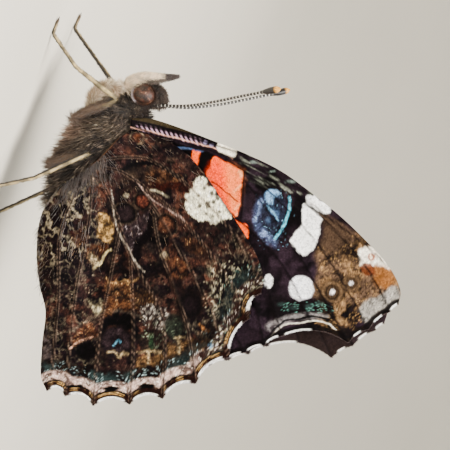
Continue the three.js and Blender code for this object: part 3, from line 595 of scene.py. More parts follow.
def forewing_under(m, look):
    """Black with the orange bar, blue arcs, white spots and the marbled golden-brown tip."""
    p = FOREWING_PATCHES
    s = FOREWING_STREAKS
    d = FOREWING_SPOTS
    w = FOREWING_WINDOWS
    m.cloud("#140d12", 26, 0.4, 0.65)
    m.cloud("#4e3a4a", 12, 0.48, 0.72, 0.6)
    strip = m.patch(p["costal_strip"], "#1d1418", 1.0)
    bars = 0.5 + 0.5 * np.sin((m.x * BARS_LIE[0] + m.y * BARS_LIE[1]) * 2 * np.pi / BAR_STEP)
    across = np.clip(distance_to(smooth_line(s["radius"], 6), m.x, m.y) / 8, 0, 1.2)
    fade = m.window(**w["bars"])
    m.lay("#bc98b0", strip * bars ** 1.8 * fall(across, 0.4, 0.8) * fade)
    m.lay("#5c4e32", strip * ramp(across, 0.95, 1.1) * 0.6)
    m.streak(s["radius"], 1.3, "#d09a86", 0.8)
    m.patch(p["lower_black"], "#100a0e", 1.4)
    m.streak(s["bluish"], 1.6, "#5f78a8", 0.6)
    for name in ("fleck_a", "fleck_b", "fleck_c"):
        m.spot(d[name], "#9c90b8", 0.4, 0.8)
    m.patch(p["white_costal"], "#f6edd6", 0.9)
    m.patch(p["orange_bar"], look.orange_hex, 0.9)
    m.patch(p["cell_black"], "#0b080b", 1.0)
    whole = m.patch(p["orange"], look.orange_hex, 1.0)
    m.patch(p["coral"], "#e83400", 5.0, 0.8)
    # A paler pink over the orange patch's outer part: painted highlight.
    m.patch(p["pink_highlight"], "#ff8a48", 5.0, 0.5)
    # Pale streaks over the outer part of the orange: painted sheen.
    glinting = clouds(m.x * 0.35 - m.y * 0.2, m.x * 0.9 + m.y * 1.1, 5, 83, 2)
    m.lay("#ffc48c", whole * m.window(**w["glinting"]) * ramp(glinting, 0.48, 0.72) * 0.45)
    m.patch(p["orange_low"], look.orange_hex, 1.0)
    m.streak(s["fold"], 1.1, "#7a2412", 0.85)
    costal = m.window(**w["costal"]) * (1 - m.slant(COSTAL_SLANT))
    m.lay("#8c9182", costal * ramp(clouds(m.x / 5, m.y - m.x * 0.6, 2.6, 77, 2), 0.52, 0.72) * 0.7)
    for name in ("green_a", "green_b", "green_c"):
        m.spot(d[name], "#8ba096", 0.5, 0.5)
    m.patch(p["blue_haze"], "#34425e", 3.0, 0.6)
    band = m.patch(p["grey_band"], "#51618a", 3.0, 0.6)
    m.lay("#7488b4", band * ramp(clouds(m.x, m.y, 5, 719), 0.45, 0.6) * 0.8)
    m.patch(p["blue"], "#78a6d6", 1.4)
    for name in ("blue_a", "blue_b", "blue_c"):
        m.spot(d[name], "#5a82b0", 0.6, 0.35)
    m.streak(s["cyan"], 2.2, "#5cc0dc", 0.85)
    m.streak(s["blue_line"], 1.2, "#6fb0d8", 0.7)
    blue_area = m.window(**w["blue"])
    m.fleck("#8fc0e0", 0.04, blue_area)
    m.fleck("#100a10", 0.5, blue_area)
    m.patch(p["tip_ground"], "#745a46", 4.0)
    tip = m.window(**w["tip"]) * fall(m.edge, 7.0, 8.5)
    m.cloud("#2c201d", 9, 0.46, 0.6, 0.85, tip)
    m.cloud("#a27c54", 7, 0.52, 0.72, 0.75, tip)
    m.patch(p["tip_shadow"], "#1f1613", 6.0, 0.4)
    m.fleck("#b8905c", 0.2, tip)
    m.fleck("#150d09", 0.4, tip)
    m.patch(p["tip_orange"], "#9c602c", 4.0, 0.8)
    m.patch(p["tip_white"], "#f6ecdc", 2.0, 0.95)
    m.patch(p["tip_rust"], "#7e3e20", 1.4, 0.9)
    m.spot(d["tip_ring"], "#9a4a24", 0.3)
    m.spot(d["tip_ring"], "#f6dcc4", 0.3, grown=0.5)
    grey = m.patch(p["tip_grey"], "#938e87", 2.0)
    m.cloud("#6a6664", 3.4, 0.5, 0.7, 0.5, grey)
    m.fleck("#4c4846", 0.3, grey)
    m.patch(p["white_main"], look.white_hex, 1.0)
    m.patch(p["white_top"], look.white_hex, 1.0)
    m.streak(s["top_grey"], 1.8, "#77736e", 0.7)
    m.spot(d["oval_white"], look.white_hex, 0.12)
    m.spot(d["round_white"], "#eeeef6", 0.1)
    for (x, y), pale, rings, full in EYESPOTS:
        for grown, code in EYESPOT_RINGS:
            m.spot((x, y, rings * grown, rings * grown), code, 0.24, full)
        m.spot((x, y, rings * 0.2, rings * 0.2), pale, 0.4)
    m.patch(p["teal_dark"], "#1c1418", 2.4, 0.85)
    m.fleck("#6fae9f", 0.22, m.window(**w["teal"]))
    for name in ("teal_a", "teal_b", "teal_c", "teal_d"):
        m.spot(d[name], "#3f5a56", 0.6, 0.5)
    low = m.patch(p["low_white"], "#b4aeae", 2.0, 0.4)
    m.cloud("#3a2f36", 4, 0.5, 0.62, 0.8, low)
    m.streak(s["hem_black"], 1.6, "#100b0e", 0.95)
    m.streak(s["hem_white"], 1.0, "#f2e8d8", 0.8)
    m.lay("#120b0f", np.exp(-(m.vein / 0.085) ** 2) * 0.85)
    m.lay("#140d10", fall(m.edge, 0.4, 0.62) * 0.9)
    m.lay("#fffdf8", fall(m.edge, 0.08, 0.15) * m.white)


def hindwing_under(m, look):
    """Dark brown marbling with cream slashes, ringed spots, pearly bands and a chain of eyespots."""
    p = HINDWING_PATCHES
    s = HINDWING_STREAKS
    d = HINDWING_SPOTS
    w = HINDWING_WINDOWS
    m.cloud("#50332f", 17, 0.42, 0.66, 0.9)
    m.cloud("#704434", 24, 0.48, 0.68, 0.75)
    m.patch(p["dark_column"], "#281e24", 9, 0.7)
    m.patch(p["brown_column"], "#623f34", 5, 0.5)
    m.cloud("#1f141b", 10, 0.47, 0.63, 0.9)
    m.cloud("#0c0709", 6, 0.58, 0.68, 0.85)
    side = m.window(**w["side"])
    outer = m.slant(OUTER_SLANT)
    net = ramp(1 - np.abs(2 * clouds(m.x, m.y, 8, 301) - 1), 0.84, 0.97)
    m.lay("#b0a184", net * (0.06 + side * (0.18 + 0.44 * m.window(**w["above"])) + 0.14 * outer))
    m.fleck("#9c8c76", 0.07, 0.2 + side * 0.5 + outer)
    m.patch(p["humeral_pale"], "#5e4a3c", 3, 0.55)
    m.patch(p["upper_maroon"], "#43180f", 2.4, 0.85)
    block = m.patch(p["upper_tan"], "#84583a", 3.0, 0.8)
    m.cloud("#2c1710", 6, 0.46, 0.6, 0.9, block)
    m.streak(s["humeral_arc"], 3.4, "#0e090b", 0.95)
    m.streak(s["dark_wave"], 8.0, "#120b0e", 0.75, 3)
    m.streak(s["pale_wave"], 2.0, "#8d7f6a", 0.4, 2)
    m.patch(p["dark_middle"], "#0c0809", 2.4)
    block = m.patch(p["grey_cell"], "#4c3b40", 2.4, 0.7)
    m.fleck("#a89a9c", 0.12, block)
    m.streak(s["black_bend"], 8.0, "#0a0507", 0.95, 2)
    for name, inside in (("ring_upper", "#7d4232"), ("ring_dark", "#3a2b2e"), ("ring_brown", "#7a4c36")):
        m.spot(d[name], "#a48c70", 0.12, 0.25, grown=1.3)
        m.spot(d[name], "#0b0708", 0.16, grown=1.2)
        m.spot(d[name], inside, 0.3, 0.9, grown=0.84)
    for name, code, full in HINDWING_BROWNS:
        block = m.patch(p[name], code, 2.4, full)
        m.cloud("#3a2016", 5, 0.5, 0.68, 0.7, block)
        m.fleck("#c79c6c", 0.1, block)
    for band in HINDWING_TEETH:
        m.zigzag(*band)
    m.streak(s["pale_upper"], 1.1, "#bd9f94", 0.8)
    m.streak(s["pale_lower"], 1.3, "#b5a898", 0.8)
    m.streak(s["cream_line"], 1.8, "#d8ccaa", 0.75)
    for name, code, full in (("side_cream", "#c79c5c", 0.85), ("side_cream_low", "#cbb68c", 0.6),
                             ("cream_nick", "#d8caa0", 0.85), ("hem_grey", "#6f6260", 0.6)):
        block = m.patch(p[name], code, 1.8, full)
        m.cloud("#3d2414", 4, 0.5, 0.66, 0.75, block)
    m.streak(s["side_line"], 2.2, "#d8c48c", 0.8)
    m.spot(d["cream_dot"], "#c5b898", 0.4, 0.8)
    m.spot(d["cream_low"], "#b09d7c", 0.4, 0.7)
    m.spot(d["hook_rust"], "#6c3c24", 0.4, 0.8)
    m.streak(s["hook"], 1.1, "#b8a684", 0.35)
    slash = m.patch(p["cream_slash"], look.cream_hex, 1.5)
    m.cloud("#3a372e", 4.5, 0.56, 0.66, 0.85, slash * m.slant(SLASH_SLANT))
    m.fleck("#1a1512", 0.12, slash)
    for name in ("speck_a", "speck_b", "speck_c", "speck_d", "speck_e"):
        m.spot(d[name], "#1c1616", 0.4, 0.85)
    middle = m.patch(p["grey_middle"], "#4a3c38", 3.0, 0.5)
    m.fleck("#cfc6ba", 0.35, middle * 2)
    m.patch(p["tip_dark"], "#171012", 5, 0.85)
    tip = m.window(**w["tip"])
    tip_net = ramp(1 - np.abs(2 * clouds(m.x, m.y, 7, 431) - 1), 0.86, 0.97)
    m.lay("#cfc6a4", tip_net * tip * 0.75)
    for name in ("net_a", "net_b", "net_c", "net_d"):
        m.streak(s[name], 1.1, "#d6cba8", 0.75)
    m.fleck("#d8ceb0", 0.14, tip)
    m.patch(p["teal_tip"], "#3a5c54", 3.0, 0.55)
    m.patch(p["teal_tip_low"], "#3a5c54", 3.0, 0.4)
    m.fleck("#7fb8a8", 0.08, tip * fall(np.abs(m.edge - 1.9), 0.9, 1.6))
    m.fleck("#100a0c", 0.4, tip)
    m.spot(d["eye_side"], "#2c1d18", 0.2, 0.8, grown=1.18)
    m.spot(d["eye_side"], "#0e090b", 0.2, 0.9)
    m.spot(d["eye_side"], "#24181c", 0.3, grown=0.6)
    m.patch(p["black_cap"], "#050304", 2.4)
    m.spot(d["eye_big"], "#120b0e", 0.12, grown=1.12)
    m.spot(d["eye_big"], "#46353a", 0.2, 0.9)
    m.fleck("#7a686c", 0.12, fall(m.far_from(d["eye_big"]), 10 / 14, 1.0))
    m.spot(d["eye_big"], "#241a1e", 0.3, 0.8, grown=0.55)
    m.streak(s["chevron"], 1.2, "#5fa6c4", 0.75)
    m.spot(d["eye_low"], "#070405", 0.2)
    m.streak(s["orange_arc"], 1.6, "#d8a284", 0.8)
    m.spot(d["green"], "#0e0909", 0.14, 0.9, grown=1.1)
    m.spot(d["green"], "#43342c", 0.25, 0.9, grown=0.95)
    m.spot(d["green_stripe"], "#305a3a", 0.5, 0.7)
    m.spot(d["green_small"], "#0e0909", 0.14, 0.8, grown=1.15)
    m.spot(d["green_small"], "#3c473a", 0.4, 0.7)
    m.fleck("#8fa084", 0.14, fall(m.far_from(d["green_dust"]), 0.8, 1.1))
    for name in ("ochre_a", "ochre_b", "ochre_c", "ochre_d", "ochre_e"):
        block = m.patch(p[name], "#86633e", 1.8, 0.85)
        m.cloud("#4a3220", 4, 0.5, 0.66, 0.7, block)
    for name in ("cream_a", "cream_b", "cream_c", "cream_d", "ochre_arc"):
        m.streak(s[name], 1.3, "#d0b484", 0.6, 2.0)
    m.streak(s["tan_dash"], 2.2, "#b4743e", 0.8)
    m.spot(d["fleck_blue"], "#63a4cc", 0.4, 0.85)
    plain = 1 - 0.8 * slash
    m.cloud("#160d14", 3.2, 0.5, 0.64, 0.5, plain)
    m.cloud("#160d14", 12, 0.56, 0.72, 0.35, plain)
    m.fleck("#120a10", 0.45, plain)
    lower = m.window(**w["lower"])
    bays = fall(np.abs(m.phase - 0.5), 0.26, 0.36)
    m.lay("#140d10", ramp(m.edge, 1.5, 1.8) * fall(m.edge, 2.6, 3.1) * 0.7)
    speckle = ramp(m.edge, 1.4, 1.7) * fall(m.edge, 2.4, 2.9) * (0.3 + 0.7 * lower)
    m.lay("#3e5858", speckle * 0.55 * ramp(clouds(m.x, m.y, 12, 611, 2), 0.46, 0.66))
    m.fleck("#9fb8bc", 0.11, speckle)
    pearly = ramp(m.edge, 0.72, 0.86) * fall(m.edge, 1.5, 1.8)
    m.lay("#c8a99d", pearly * (0.08 + 0.66 * lower))
    m.cloud("#3a2420", 4.0, 0.48, 0.6, 0.9, pearly * (1.2 - lower * 0.4))
    m.fleck("#fff0e6", 0.16, pearly * (0.35 + 0.65 * lower))
    for name in ("crescent_a", "crescent_b", "crescent_c", "crescent_d"):
        m.spot(d[name], "#050304", 0.3)
    m.cloud("#140c0c", 7, 0.3, 0.5, 0.9, ramp(m.edge, 0.56, 0.64) * fall(m.edge, 0.72, 0.82))
    m.lay("#2f1410", fall(m.edge, 0.56, 0.64))
    for near, code in ((0.56, "#b4905c"), (0.38, "#a8824e")):
        line = ramp(m.edge, near - 0.07, near - 0.03) * fall(m.edge, near + 0.03, near + 0.07)
        m.lay(code, line * bays * ramp(clouds(m.x, m.y, 6, 811, 2), 0.36, 0.56) * 0.85)
    m.lay("#fffdf8", fall(m.edge, 0.13, 0.2) * m.white)
    m.lay("#140b0c", np.exp(-(m.vein / 0.07) ** 2) * 0.75)
    m.lay("#9d8270", np.exp(-((m.vein - 0.1) / 0.035) ** 2) * 0.35)


def forewing_upper(m, look):
    """Velvety brown-black with the orange band across it and white spots at the tip."""
    m.lay("#4a3122", fall(m.x, 4, 15))
    m.cloud("#5c3e2a", 2.4, 0.45, 0.7, 0.5, fall(m.x, 6, 14))
    m.streak(FOREWING_BAND, FOREWING_BAND_WIDE, look.orange_hex, soft=0.25)
    m.patch(FOREWING_WHITE_BAR, look.white_hex, 0.12)
    for place in FOREWING_WHITE_SPOTS:
        m.spot(place, look.white_hex, 0.2)
    m.cloud("#3a2c34", 3, 0.5, 0.7, 0.5, ramp(m.x, 20, 24))
    m.lay("#0c0809", np.exp(-(m.vein / 0.11) ** 2) * 0.7)
    m.lay("#efe9e0", fall(m.edge, 0.08, 0.17) * m.white)


def hindwing_upper(m, look):
    """Brown-black with an orange border that holds a row of black dots, and a blue spot at its inner end."""
    m.lay("#4a3224", fall(m.x, 5, 15))
    m.cloud("#6a4a30", 2.4, 0.45, 0.7, 0.6, fall(m.x, 8, 16))
    m.lay(look.orange_hex, ramp(m.edge, 0.5, 0.62) * fall(m.edge, 3.3, 3.6) * ramp(m.x, 15.5, 17))
    for x, y in HINDWING_BLACK_DOTS:
        m.spot((x, y, 0.62, 0.55), "#0d0908", 0.18)
    m.lay("#140d0d", fall(m.edge, 0.4, 0.55) * 0.9)
    for x, y in HINDWING_BLUE_DOTS:
        m.spot((x, y, 1.1, 0.6), "#15100f", 0.2)
        m.spot((x, y, 0.8, 0.35), "#6f93c4", 0.25)
    m.lay("#0c0809", np.exp(-(m.vein / 0.11) ** 2) * 0.7)
    m.lay("#f0ebe2", fall(m.edge, 0.1, 0.2) * m.white)


def swell(start, end, first, last, y, z):
    """How far the wings stand out beside the body."""
    ey, ez = end[0] - start[0], end[1] - start[1]
    t = np.clip(((y - start[0]) * ey + (z - start[1]) * ez) / (ey * ey + ez * ez), 0, 1)
    far = np.hypot(y - start[0] - ey * t, z - start[1] - ez * t)
    return (first + (last - first) * t) * 0.5 * (1 + np.cos(np.pi * np.minimum(1, far / SWELL_REACH)))


def sheet_x(y, z):
    """How far from the middle the forewings' sheets lie at a place."""
    spread = TIPS_SPREAD * np.clip((z - WAIST[1]) / SPREAD_REACH, 0, 1) ** 2
    front = swell(NECK, WAIST, SWELL_NECK, SWELL_WAIST, y, z)
    rear = swell(WAIST, TAIL, SWELL_WAIST, SWELL_TAIL, y, z)
    return HALF_APART + spread + np.maximum(front, rear)


def margin(plan, per=24):
    """The wing's outer edge, hollowed between its vein tips, and how far along each hollow a point is."""
    tips = np.asarray(plan["tips"], float)
    middle = tips.mean(0) * 0.4
    line = []
    phase = []
    for a, b in zip(tips, tips[1:]):
        normal = np.array([-(b - a)[1], (b - a)[0]])
        normal /= np.linalg.norm(normal)
        if normal @ (middle - a) < 0:
            normal = -normal
        depth = plan["scallop"] * min(1.0, np.linalg.norm(b - a) / 2)
        for t in np.arange(per) / per:
            line.append(a + (b - a) * t + normal * 4 * depth * t * (1 - t))
            phase.append(t)
    return np.array(line + [tips[-1]]), np.array(phase + [1.0])


def white_share(plan, share, phase):
    """How white the fringe is at a share of the edge: white in the hollows, dark at the vein tips."""
    widths = plan["fringe_white"]
    hollow = np.clip((share * len(widths)).astype(int), 0, len(widths) - 1)
    half = np.array(widths)[hollow]
    return fall(np.abs(phase - 0.5), half, half + 0.08) * (half > 0.02)


def wing_places(plan, u, v):
    """A wing's own places for shares along it (u) and across it (v)."""
    front = smooth_line(plan["front"])
    hem = smooth_line(plan["hem"])
    edge = margin(plan)[0]
    root = np.array([front[0], hem[0]])
    c0 = along_line(front, u)
    c1 = along_line(hem, u)
    d0 = along_line(root, v)
    d1 = along_line(edge, v)
    uu = u[:, None]
    vv = v[:, None]
    corners = (1 - uu) * ((1 - vv) * front[0] + vv * hem[0]) + uu * ((1 - vv) * edge[0] + vv * edge[-1])
    return (1 - vv) * c0 + vv * c1 + (1 - uu) * d0 + uu * d1 - corners


def place_on_wing(plan, side, local, lift=0.0):
    """Design millimetres of places on a wing, side 1 for the left one and -1 for the right one."""
    lean = np.radians(plan["lean"] + (plan["turned"] if side < 0 else 0))
    out = local[:, 0]
    back = local[:, 1]
    y = plan["root"][0] + out * np.sin(lean) + back * np.cos(lean)
    z = plan["root"][1] + out * np.cos(lean) - back * np.sin(lean)
    rise = FOREWING_OUT if plan is FOREWING else HINDWING_OUT
    return np.stack([side * (sheet_x(y, z) + rise + lift), y, z], 1)


def fill_in(tree, node, values):
    """A node's sockets, set to values or linked."""
    for name, value in values.items():
        socket = node.inputs[name]
        if isinstance(value, bpy.types.NodeSocket):
            tree.links.new(value, socket)
        else:
            socket.default_value = value


def add_node(tree, kind, values=None, **settings):
    """One node, with its settings and its sockets' values or links."""
    made = tree.nodes.new(kind)
    for name, value in settings.items():
        setattr(made, name, value)
    fill_in(tree, made, values or {})
    return made


def new_material(name):
    material = bpy.data.materials.new(name)
    material.use_nodes = True
    tree = material.node_tree
    return material, tree, tree.nodes["Principled BSDF"]


def tinted(tree, attribute, dark, light, size, detail=2.0):
    """An attribute's colour, made a little darker and lighter by noise of a real size in millimetres."""
    place = add_node(tree, "ShaderNodeTexCoord").outputs["Object"]
    tint = add_node(tree, "ShaderNodeAttribute", attribute_name=attribute).outputs["Color"]
    noise = add_node(tree, "ShaderNodeTexNoise", {
        "Vector": place, "Scale": 1 / (size * MM), "Detail": detail})
    level = add_node(tree, "ShaderNodeMapRange", {
        "Value": noise.outputs["Fac"], "From Min": 0.3, "From Max": 0.7, "To Min": dark, "To Max": light})
    mixed = add_node(tree, "ShaderNodeVectorMath", {0: tint, 1: level.outputs["Result"]},
                     operation="MULTIPLY")
    return place, mixed.outputs["Vector"]


def scales_material(name, attribute, roughness, sheen):
    """Overlapping wing scales: a powdery, faintly silky face whose grain shows up close."""
    material, tree, shader = new_material(name)
    place, colour = tinted(tree, attribute, 0.78, 1.2, 0.35)
    cells = add_node(tree, "ShaderNodeTexVoronoi", {
        "Vector": place, "Scale": 1 / (0.13 * MM), "Randomness": 0.8})
    spread = add_node(tree, "ShaderNodeSeparateColor", {"Color": cells.outputs["Color"]})
    level = add_node(tree, "ShaderNodeMapRange", {
        "Value": spread.outputs["Red"], "To Min": 0.74, "To Max": 1.26})
    scaled = add_node(tree, "ShaderNodeVectorMath", {0: colour, 1: level.outputs["Result"]},
                      operation="MULTIPLY")
    bump = add_node(tree, "ShaderNodeBump", {
        "Height": cells.outputs["Distance"], "Strength": 0.35, "Distance": 0.00003})
    fill_in(tree, shader, {
        "Base Color": scaled.outputs["Vector"], "Roughness": roughness, "Sheen Weight": sheen,
        "Sheen Roughness": 0.45, "Specular IOR Level": 0.03, "Normal": bump.outputs["Normal"]})
    return material


def hair_material(name, roughness, sheen):
    """Fine body hair: soft and matt, each hair darker at its root and lighter at its tip: painted shade deep
    in the coat and painted light on its surface.
    """
    material, tree, shader = new_material(name)
    colour = tinted(tree, "tint", 0.75, 1.25, 0.6)[1]
    fill_in(tree, shader, {
        "Base Color": colour, "Roughness": roughness, "Sheen Weight": sheen, "Specular IOR Level": 0.35})
    return material


def horn_material(name, roughness, rough_size):
    """Horny outer skin of feelers and legs: smooth, with a low gloss broken by tiny pits."""
    material, tree, shader = new_material(name)
    place, colour = tinted(tree, "tint", 0.8, 1.2, rough_size)
    pits = add_node(tree, "ShaderNodeTexNoise", {"Vector": place, "Scale": 1 / (0.05 * MM), "Detail": 2.0})
    bump = add_node(tree, "ShaderNodeBump", {
        "Height": pits.outputs["Fac"], "Strength": 0.4, "Distance": 0.00002})
    fill_in(tree, shader, {
        "Base Color": colour, "Roughness": roughness, "Normal": bump.outputs["Normal"]})
    return material


def eye_material(name):
    """The faceted eye: brown with darker clouds, a low gloss and fine facets."""
    material, tree, shader = new_material(name)
    place = add_node(tree, "ShaderNodeTexCoord").outputs["Object"]
    noise = add_node(tree, "ShaderNodeTexNoise", {
        "Vector": place, "Scale": 1 / (0.5 * MM), "Detail": 3.0, "Distortion": 0.8})
    shades = add_node(tree, "ShaderNodeValToRGB", {"Fac": noise.outputs["Fac"]})
    steps = shades.color_ramp.elements
    steps[0].position = 0.36
    steps[0].color = (*rgb("#0d0504"), 1)
    steps[1].position = 0.79
    steps[1].color = (*rgb("#dcb898"), 1)
    for place_on, code in ((0.5, "#2e170e"), (0.64, "#583222")):
        steps.new(place_on).color = (*rgb(code), 1)
    facets = add_node(tree, "ShaderNodeTexVoronoi", {
        "Vector": place, "Scale": 1 / (0.055 * MM), "Randomness": 0.25})
    bump = add_node(tree, "ShaderNodeBump", {
        "Height": facets.outputs["Distance"], "Strength": 0.6, "Distance": 0.00003}, invert=True)
    fill_in(tree, shader, {
        "Base Color": shades.outputs["Color"], "Roughness": 0.5, "Coat Weight": 0.08,
        "Coat Roughness": 0.3, "Normal": bump.outputs["Normal"]})
    return material


def skin_material(name):
    """The body's skin under the fur: dark, dull and slightly scaly."""
    material, tree, shader = new_material(name)
    place, colour = tinted(tree, "tint", 0.7, 1.3, 0.5, 4.0)
    cells = add_node(tree, "ShaderNodeTexVoronoi", {"Vector": place, "Scale": 1 / (0.12 * MM)})
    bump = add_node(tree, "ShaderNodeBump", {
        "Height": cells.outputs["Distance"], "Strength": 0.5, "Distance": 0.00004})
    fill_in(tree, shader, {"Base Color": colour, "Roughness": 0.75, "Normal": bump.outputs["Normal"]})
    return material


def tint_points(mesh, name, colours):
    """One colour for each of a mesh's points, kept as an attribute."""
    values = np.ones((len(mesh.vertices), 4), np.float32)
    values[:, :3] = np.clip(colours, 0, 1)
    layer = mesh.attributes.new(name, "FLOAT_COLOR", "POINT")
    layer.data.foreach_set("color", values.ravel())


def own_uv(mesh, places):
    """The mesh's own map, one place for each face corner."""
    while mesh.uv_layers:
        mesh.uv_layers.remove(mesh.uv_layers[0])
    layer = mesh.uv_layers.new(name="OFBake")
    layer.data.foreach_set("uv", np.clip(places, 0.001, 0.999).astype(np.float32).ravel())


def read(rows, name, kind, width=1):
    """One value of every row of a mesh's list, or so many side by side."""
    out = np.empty(len(rows) * width, kind)
    rows.foreach_get(name, out)
    return out.reshape(-1, width) if width > 1 else out


def corner_points(mesh):
    return read(mesh.loops, "vertex_index", np.int32)


def points_of(mesh):
    return read(mesh.vertices, "co", float, 3)


def normals_of(mesh):
    return read(mesh.vertex_normals, "vector", float, 3)


def triangle_mesh(name, points, triangles):
    """A mesh of triangles from design millimetres."""
    mesh = bpy.data.meshes.new(name)
    mesh.vertices.add(len(points))
    mesh.vertices.foreach_set("co", metres(points).astype(np.float32).ravel())
    mesh.loops.add(len(triangles) * 3)
    mesh.loops.foreach_set("vertex_index", triangles.astype(np.int32).ravel())
    mesh.polygons.add(len(triangles))
    mesh.polygons.foreach_set("loop_start", np.arange(0, len(triangles) * 3, 3, dtype=np.int32))
    mesh.polygons.foreach_set("use_smooth", np.ones(len(triangles), bool))
    mesh.update()
    mesh.validate()
    return mesh


def new_piece(name, mesh, material, stands_for=()):
    """A finished piece at the origin, riding with the solids."""
    obj = bpy.data.objects.new(name, mesh)
    bpy.context.scene.collection.objects.link(obj)
    mesh.materials.clear()
    mesh.materials.append(material)
    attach(obj, "root")
    if stands_for:
        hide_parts(*stands_for)
    return obj


STRAIGHT = 0.0


def hairs(name, roots, heads, bends, long, thick, tints, places, material, root_shade_level=0.5):
    """A coat piece: tapered three-sided hairs; a size is one for all, or one for each."""
    count = len(roots)
    rng = np.random.default_rng(count + 11)
    heads = unit(heads)
    side = unit(np.cross(heads, rng.normal(size=(count, 3))))
    other = np.cross(heads, side)
    long = np.broadcast_to(long, count)[:, None]
    thick = np.broadcast_to(thick, count)[:, None]
    points = np.empty((count, 10, 3))
    shade = np.empty((count, 10, 3))
    uv = np.empty((count, 10, 2))
    for level, (share, slim) in enumerate(((0.0, 1.0), (0.4, 0.85), (0.75, 0.5))):
        centre = roots + heads * long * share + bends * long * share ** 2
        # Each hair grows lighter from its root outwards: painted shade deep in the coat.
        dark = root_shade_level + (1 - root_shade_level) * share ** 1.4
        for k in range(3):
            turn = 2 * np.pi * k / 3
            points[:, level * 3 + k] = centre + (side * np.cos(turn) + other * np.sin(turn)) * thick * slim
            shade[:, level * 3 + k] = tints * dark
            uv[:, level * 3 + k] = places + np.array([k * 0.0015, share * 0.003])
    points[:, 9] = roots + heads * long + bends * long
    # The tip is lighter than the hair's own colour: painted light on the coat's surface.
    shade[:, 9] = tints * (1.5 - 0.5 * root_shade_level)
    uv[:, 9] = places + np.array([0.0015, 0.003])
    faces = []
    for level in range(2):
        for k in range(3):
            a = level * 3 + k
            b = level * 3 + (k + 1) % 3
            faces += [(a, b, b + 3), (a, b + 3, a + 3)]
    faces += [(6, 7, 9), (7, 8, 9), (8, 6, 9)]
    faces = (np.array(faces)[None] + np.arange(count)[:, None, None] * 10).reshape(-1, 3)
    mesh = triangle_mesh(name, points.reshape(-1, 3), faces)
    tint_points(mesh, "tint", shade.reshape(-1, 3))
    own_uv(mesh, uv.reshape(-1, 2)[corner_points(mesh)])
    return new_piece(name, mesh, material)


def tube_mesh(name, line, radii, sides=12):
    """A closed round tube along a line of points with a radius at each."""
    line = np.asarray(line, float)
    heads = unit(np.gradient(line, axis=0))
    side = unit(np.cross(heads[0], [0.31, 0.2, 0.93]))
    rings = []
    turns = np.arange(sides) * 2 * np.pi / sides
    for at, head, radius in zip(line, heads, radii):
        side = unit(side - head * (side @ head))
        other = np.cross(head, side)
        rings.append(at + (np.outer(np.cos(turns), side) + np.outer(np.sin(turns), other)) * radius)
    count = len(rings)
    ends = [line[:1] - heads[:1] * radii[0] * 0.5, line[-1:] + heads[-1:] * radii[-1] * 0.5]
    points = np.vstack(rings + ends)
    faces = []
    for k in range(count - 1):
        for j in range(sides):
            a = k * sides + j
            b = k * sides + (j + 1) % sides
            faces += [(a, b, b + sides), (a, b + sides, a + sides)]
    for j in range(sides):
        faces.append((count * sides, (j + 1) % sides, j))
        last = (count - 1) * sides
        faces.append((count * sides + 1, last + j, last + (j + 1) % sides))
    mesh = triangle_mesh(name, points, np.array(faces))
    shares = np.concatenate([np.repeat(np.linspace(0, 1, count), sides), [0, 1]])
    return mesh, shares


def scatter(mesh, count, seed, weight=None):
    """Roots spread over a mesh by area and any weight: places in design millimetres, and normals."""
    mesh.calc_loop_triangles()
    index = read(mesh.loop_triangles, "vertices", np.int32, 3)
    co = millimetres(points_of(mesh))
    normals = normals_of(mesh)
    a, b, c = (co[index[:, k]] for k in range(3))
    share = np.linalg.norm(np.cross(b - a, c - a), axis=1)
    if weight:
        share = share * weight((a + b + c) / 3)
    rng = np.random.default_rng(seed)
    pick = rng.choice(len(share), count, p=share / share.sum())
    r1 = np.sqrt(rng.random(count))[:, None]
    r2 = rng.random(count)[:, None]
    at = a[pick] * (1 - r1) + b[pick] * r1 * (1 - r2) + c[pick] * r1 * r2
    normal = sum(normals[index[pick, k]] for k in range(3))
    return at, unit(normal)


def nearest_on(line, at):
    """For each place, the number of the line's nearest point and the way ahead there."""
    nearest = np.linalg.norm(at[:, None] - line[None], axis=2).argmin(1)
    return nearest, unit(np.gradient(line, axis=0))[nearest]


def lumps(at, size, seed, amount):
    """A push shared by the hairs of one tuft, so the coat falls in tufts."""
    table = np.random.default_rng(seed).normal(size=(997, 3))
    cell = np.floor(at / size).astype(int)
    return table[(cell[:, 0] * 73 + cell[:, 1] * 179 + cell[:, 2] * 283) % 997] * amount


def mixed_tints(at, codes, size, seed, jitter=0.16):
    """Hair colours that drift between the given ones over the coat."""
    rng = np.random.default_rng(seed)
    level = clouds(at[:, 1] + at[:, 0], at[:, 2] - at[:, 0] * 0.4, size, seed) + rng.normal(0, 0.14, len(at))
    level = ramp(level, 0.25, 0.75) * (len(codes) - 1)
    colours = np.array([rgb(code) for code in codes])
    low = np.clip(np.floor(level).astype(int), 0, len(codes) - 2)
    out = mix(colours[low], colours[low + 1], (level - low)[:, None])
    return uneven(out, rng, jitter)


def body_uv(at):
    """A place on a plain unwrap of the body: round it, and from head to tail."""
    axis_z = np.interp(at[:, 1], [NECK[0], WAIST[0], TAIL[0]], [NECK[1], WAIST[1], TAIL[1]])
    turn = np.arctan2(at[:, 2] - axis_z, at[:, 0]) / (2 * np.pi) + 0.5
    return np.stack([turn, (at[:, 1] + 2) / 31], 1)


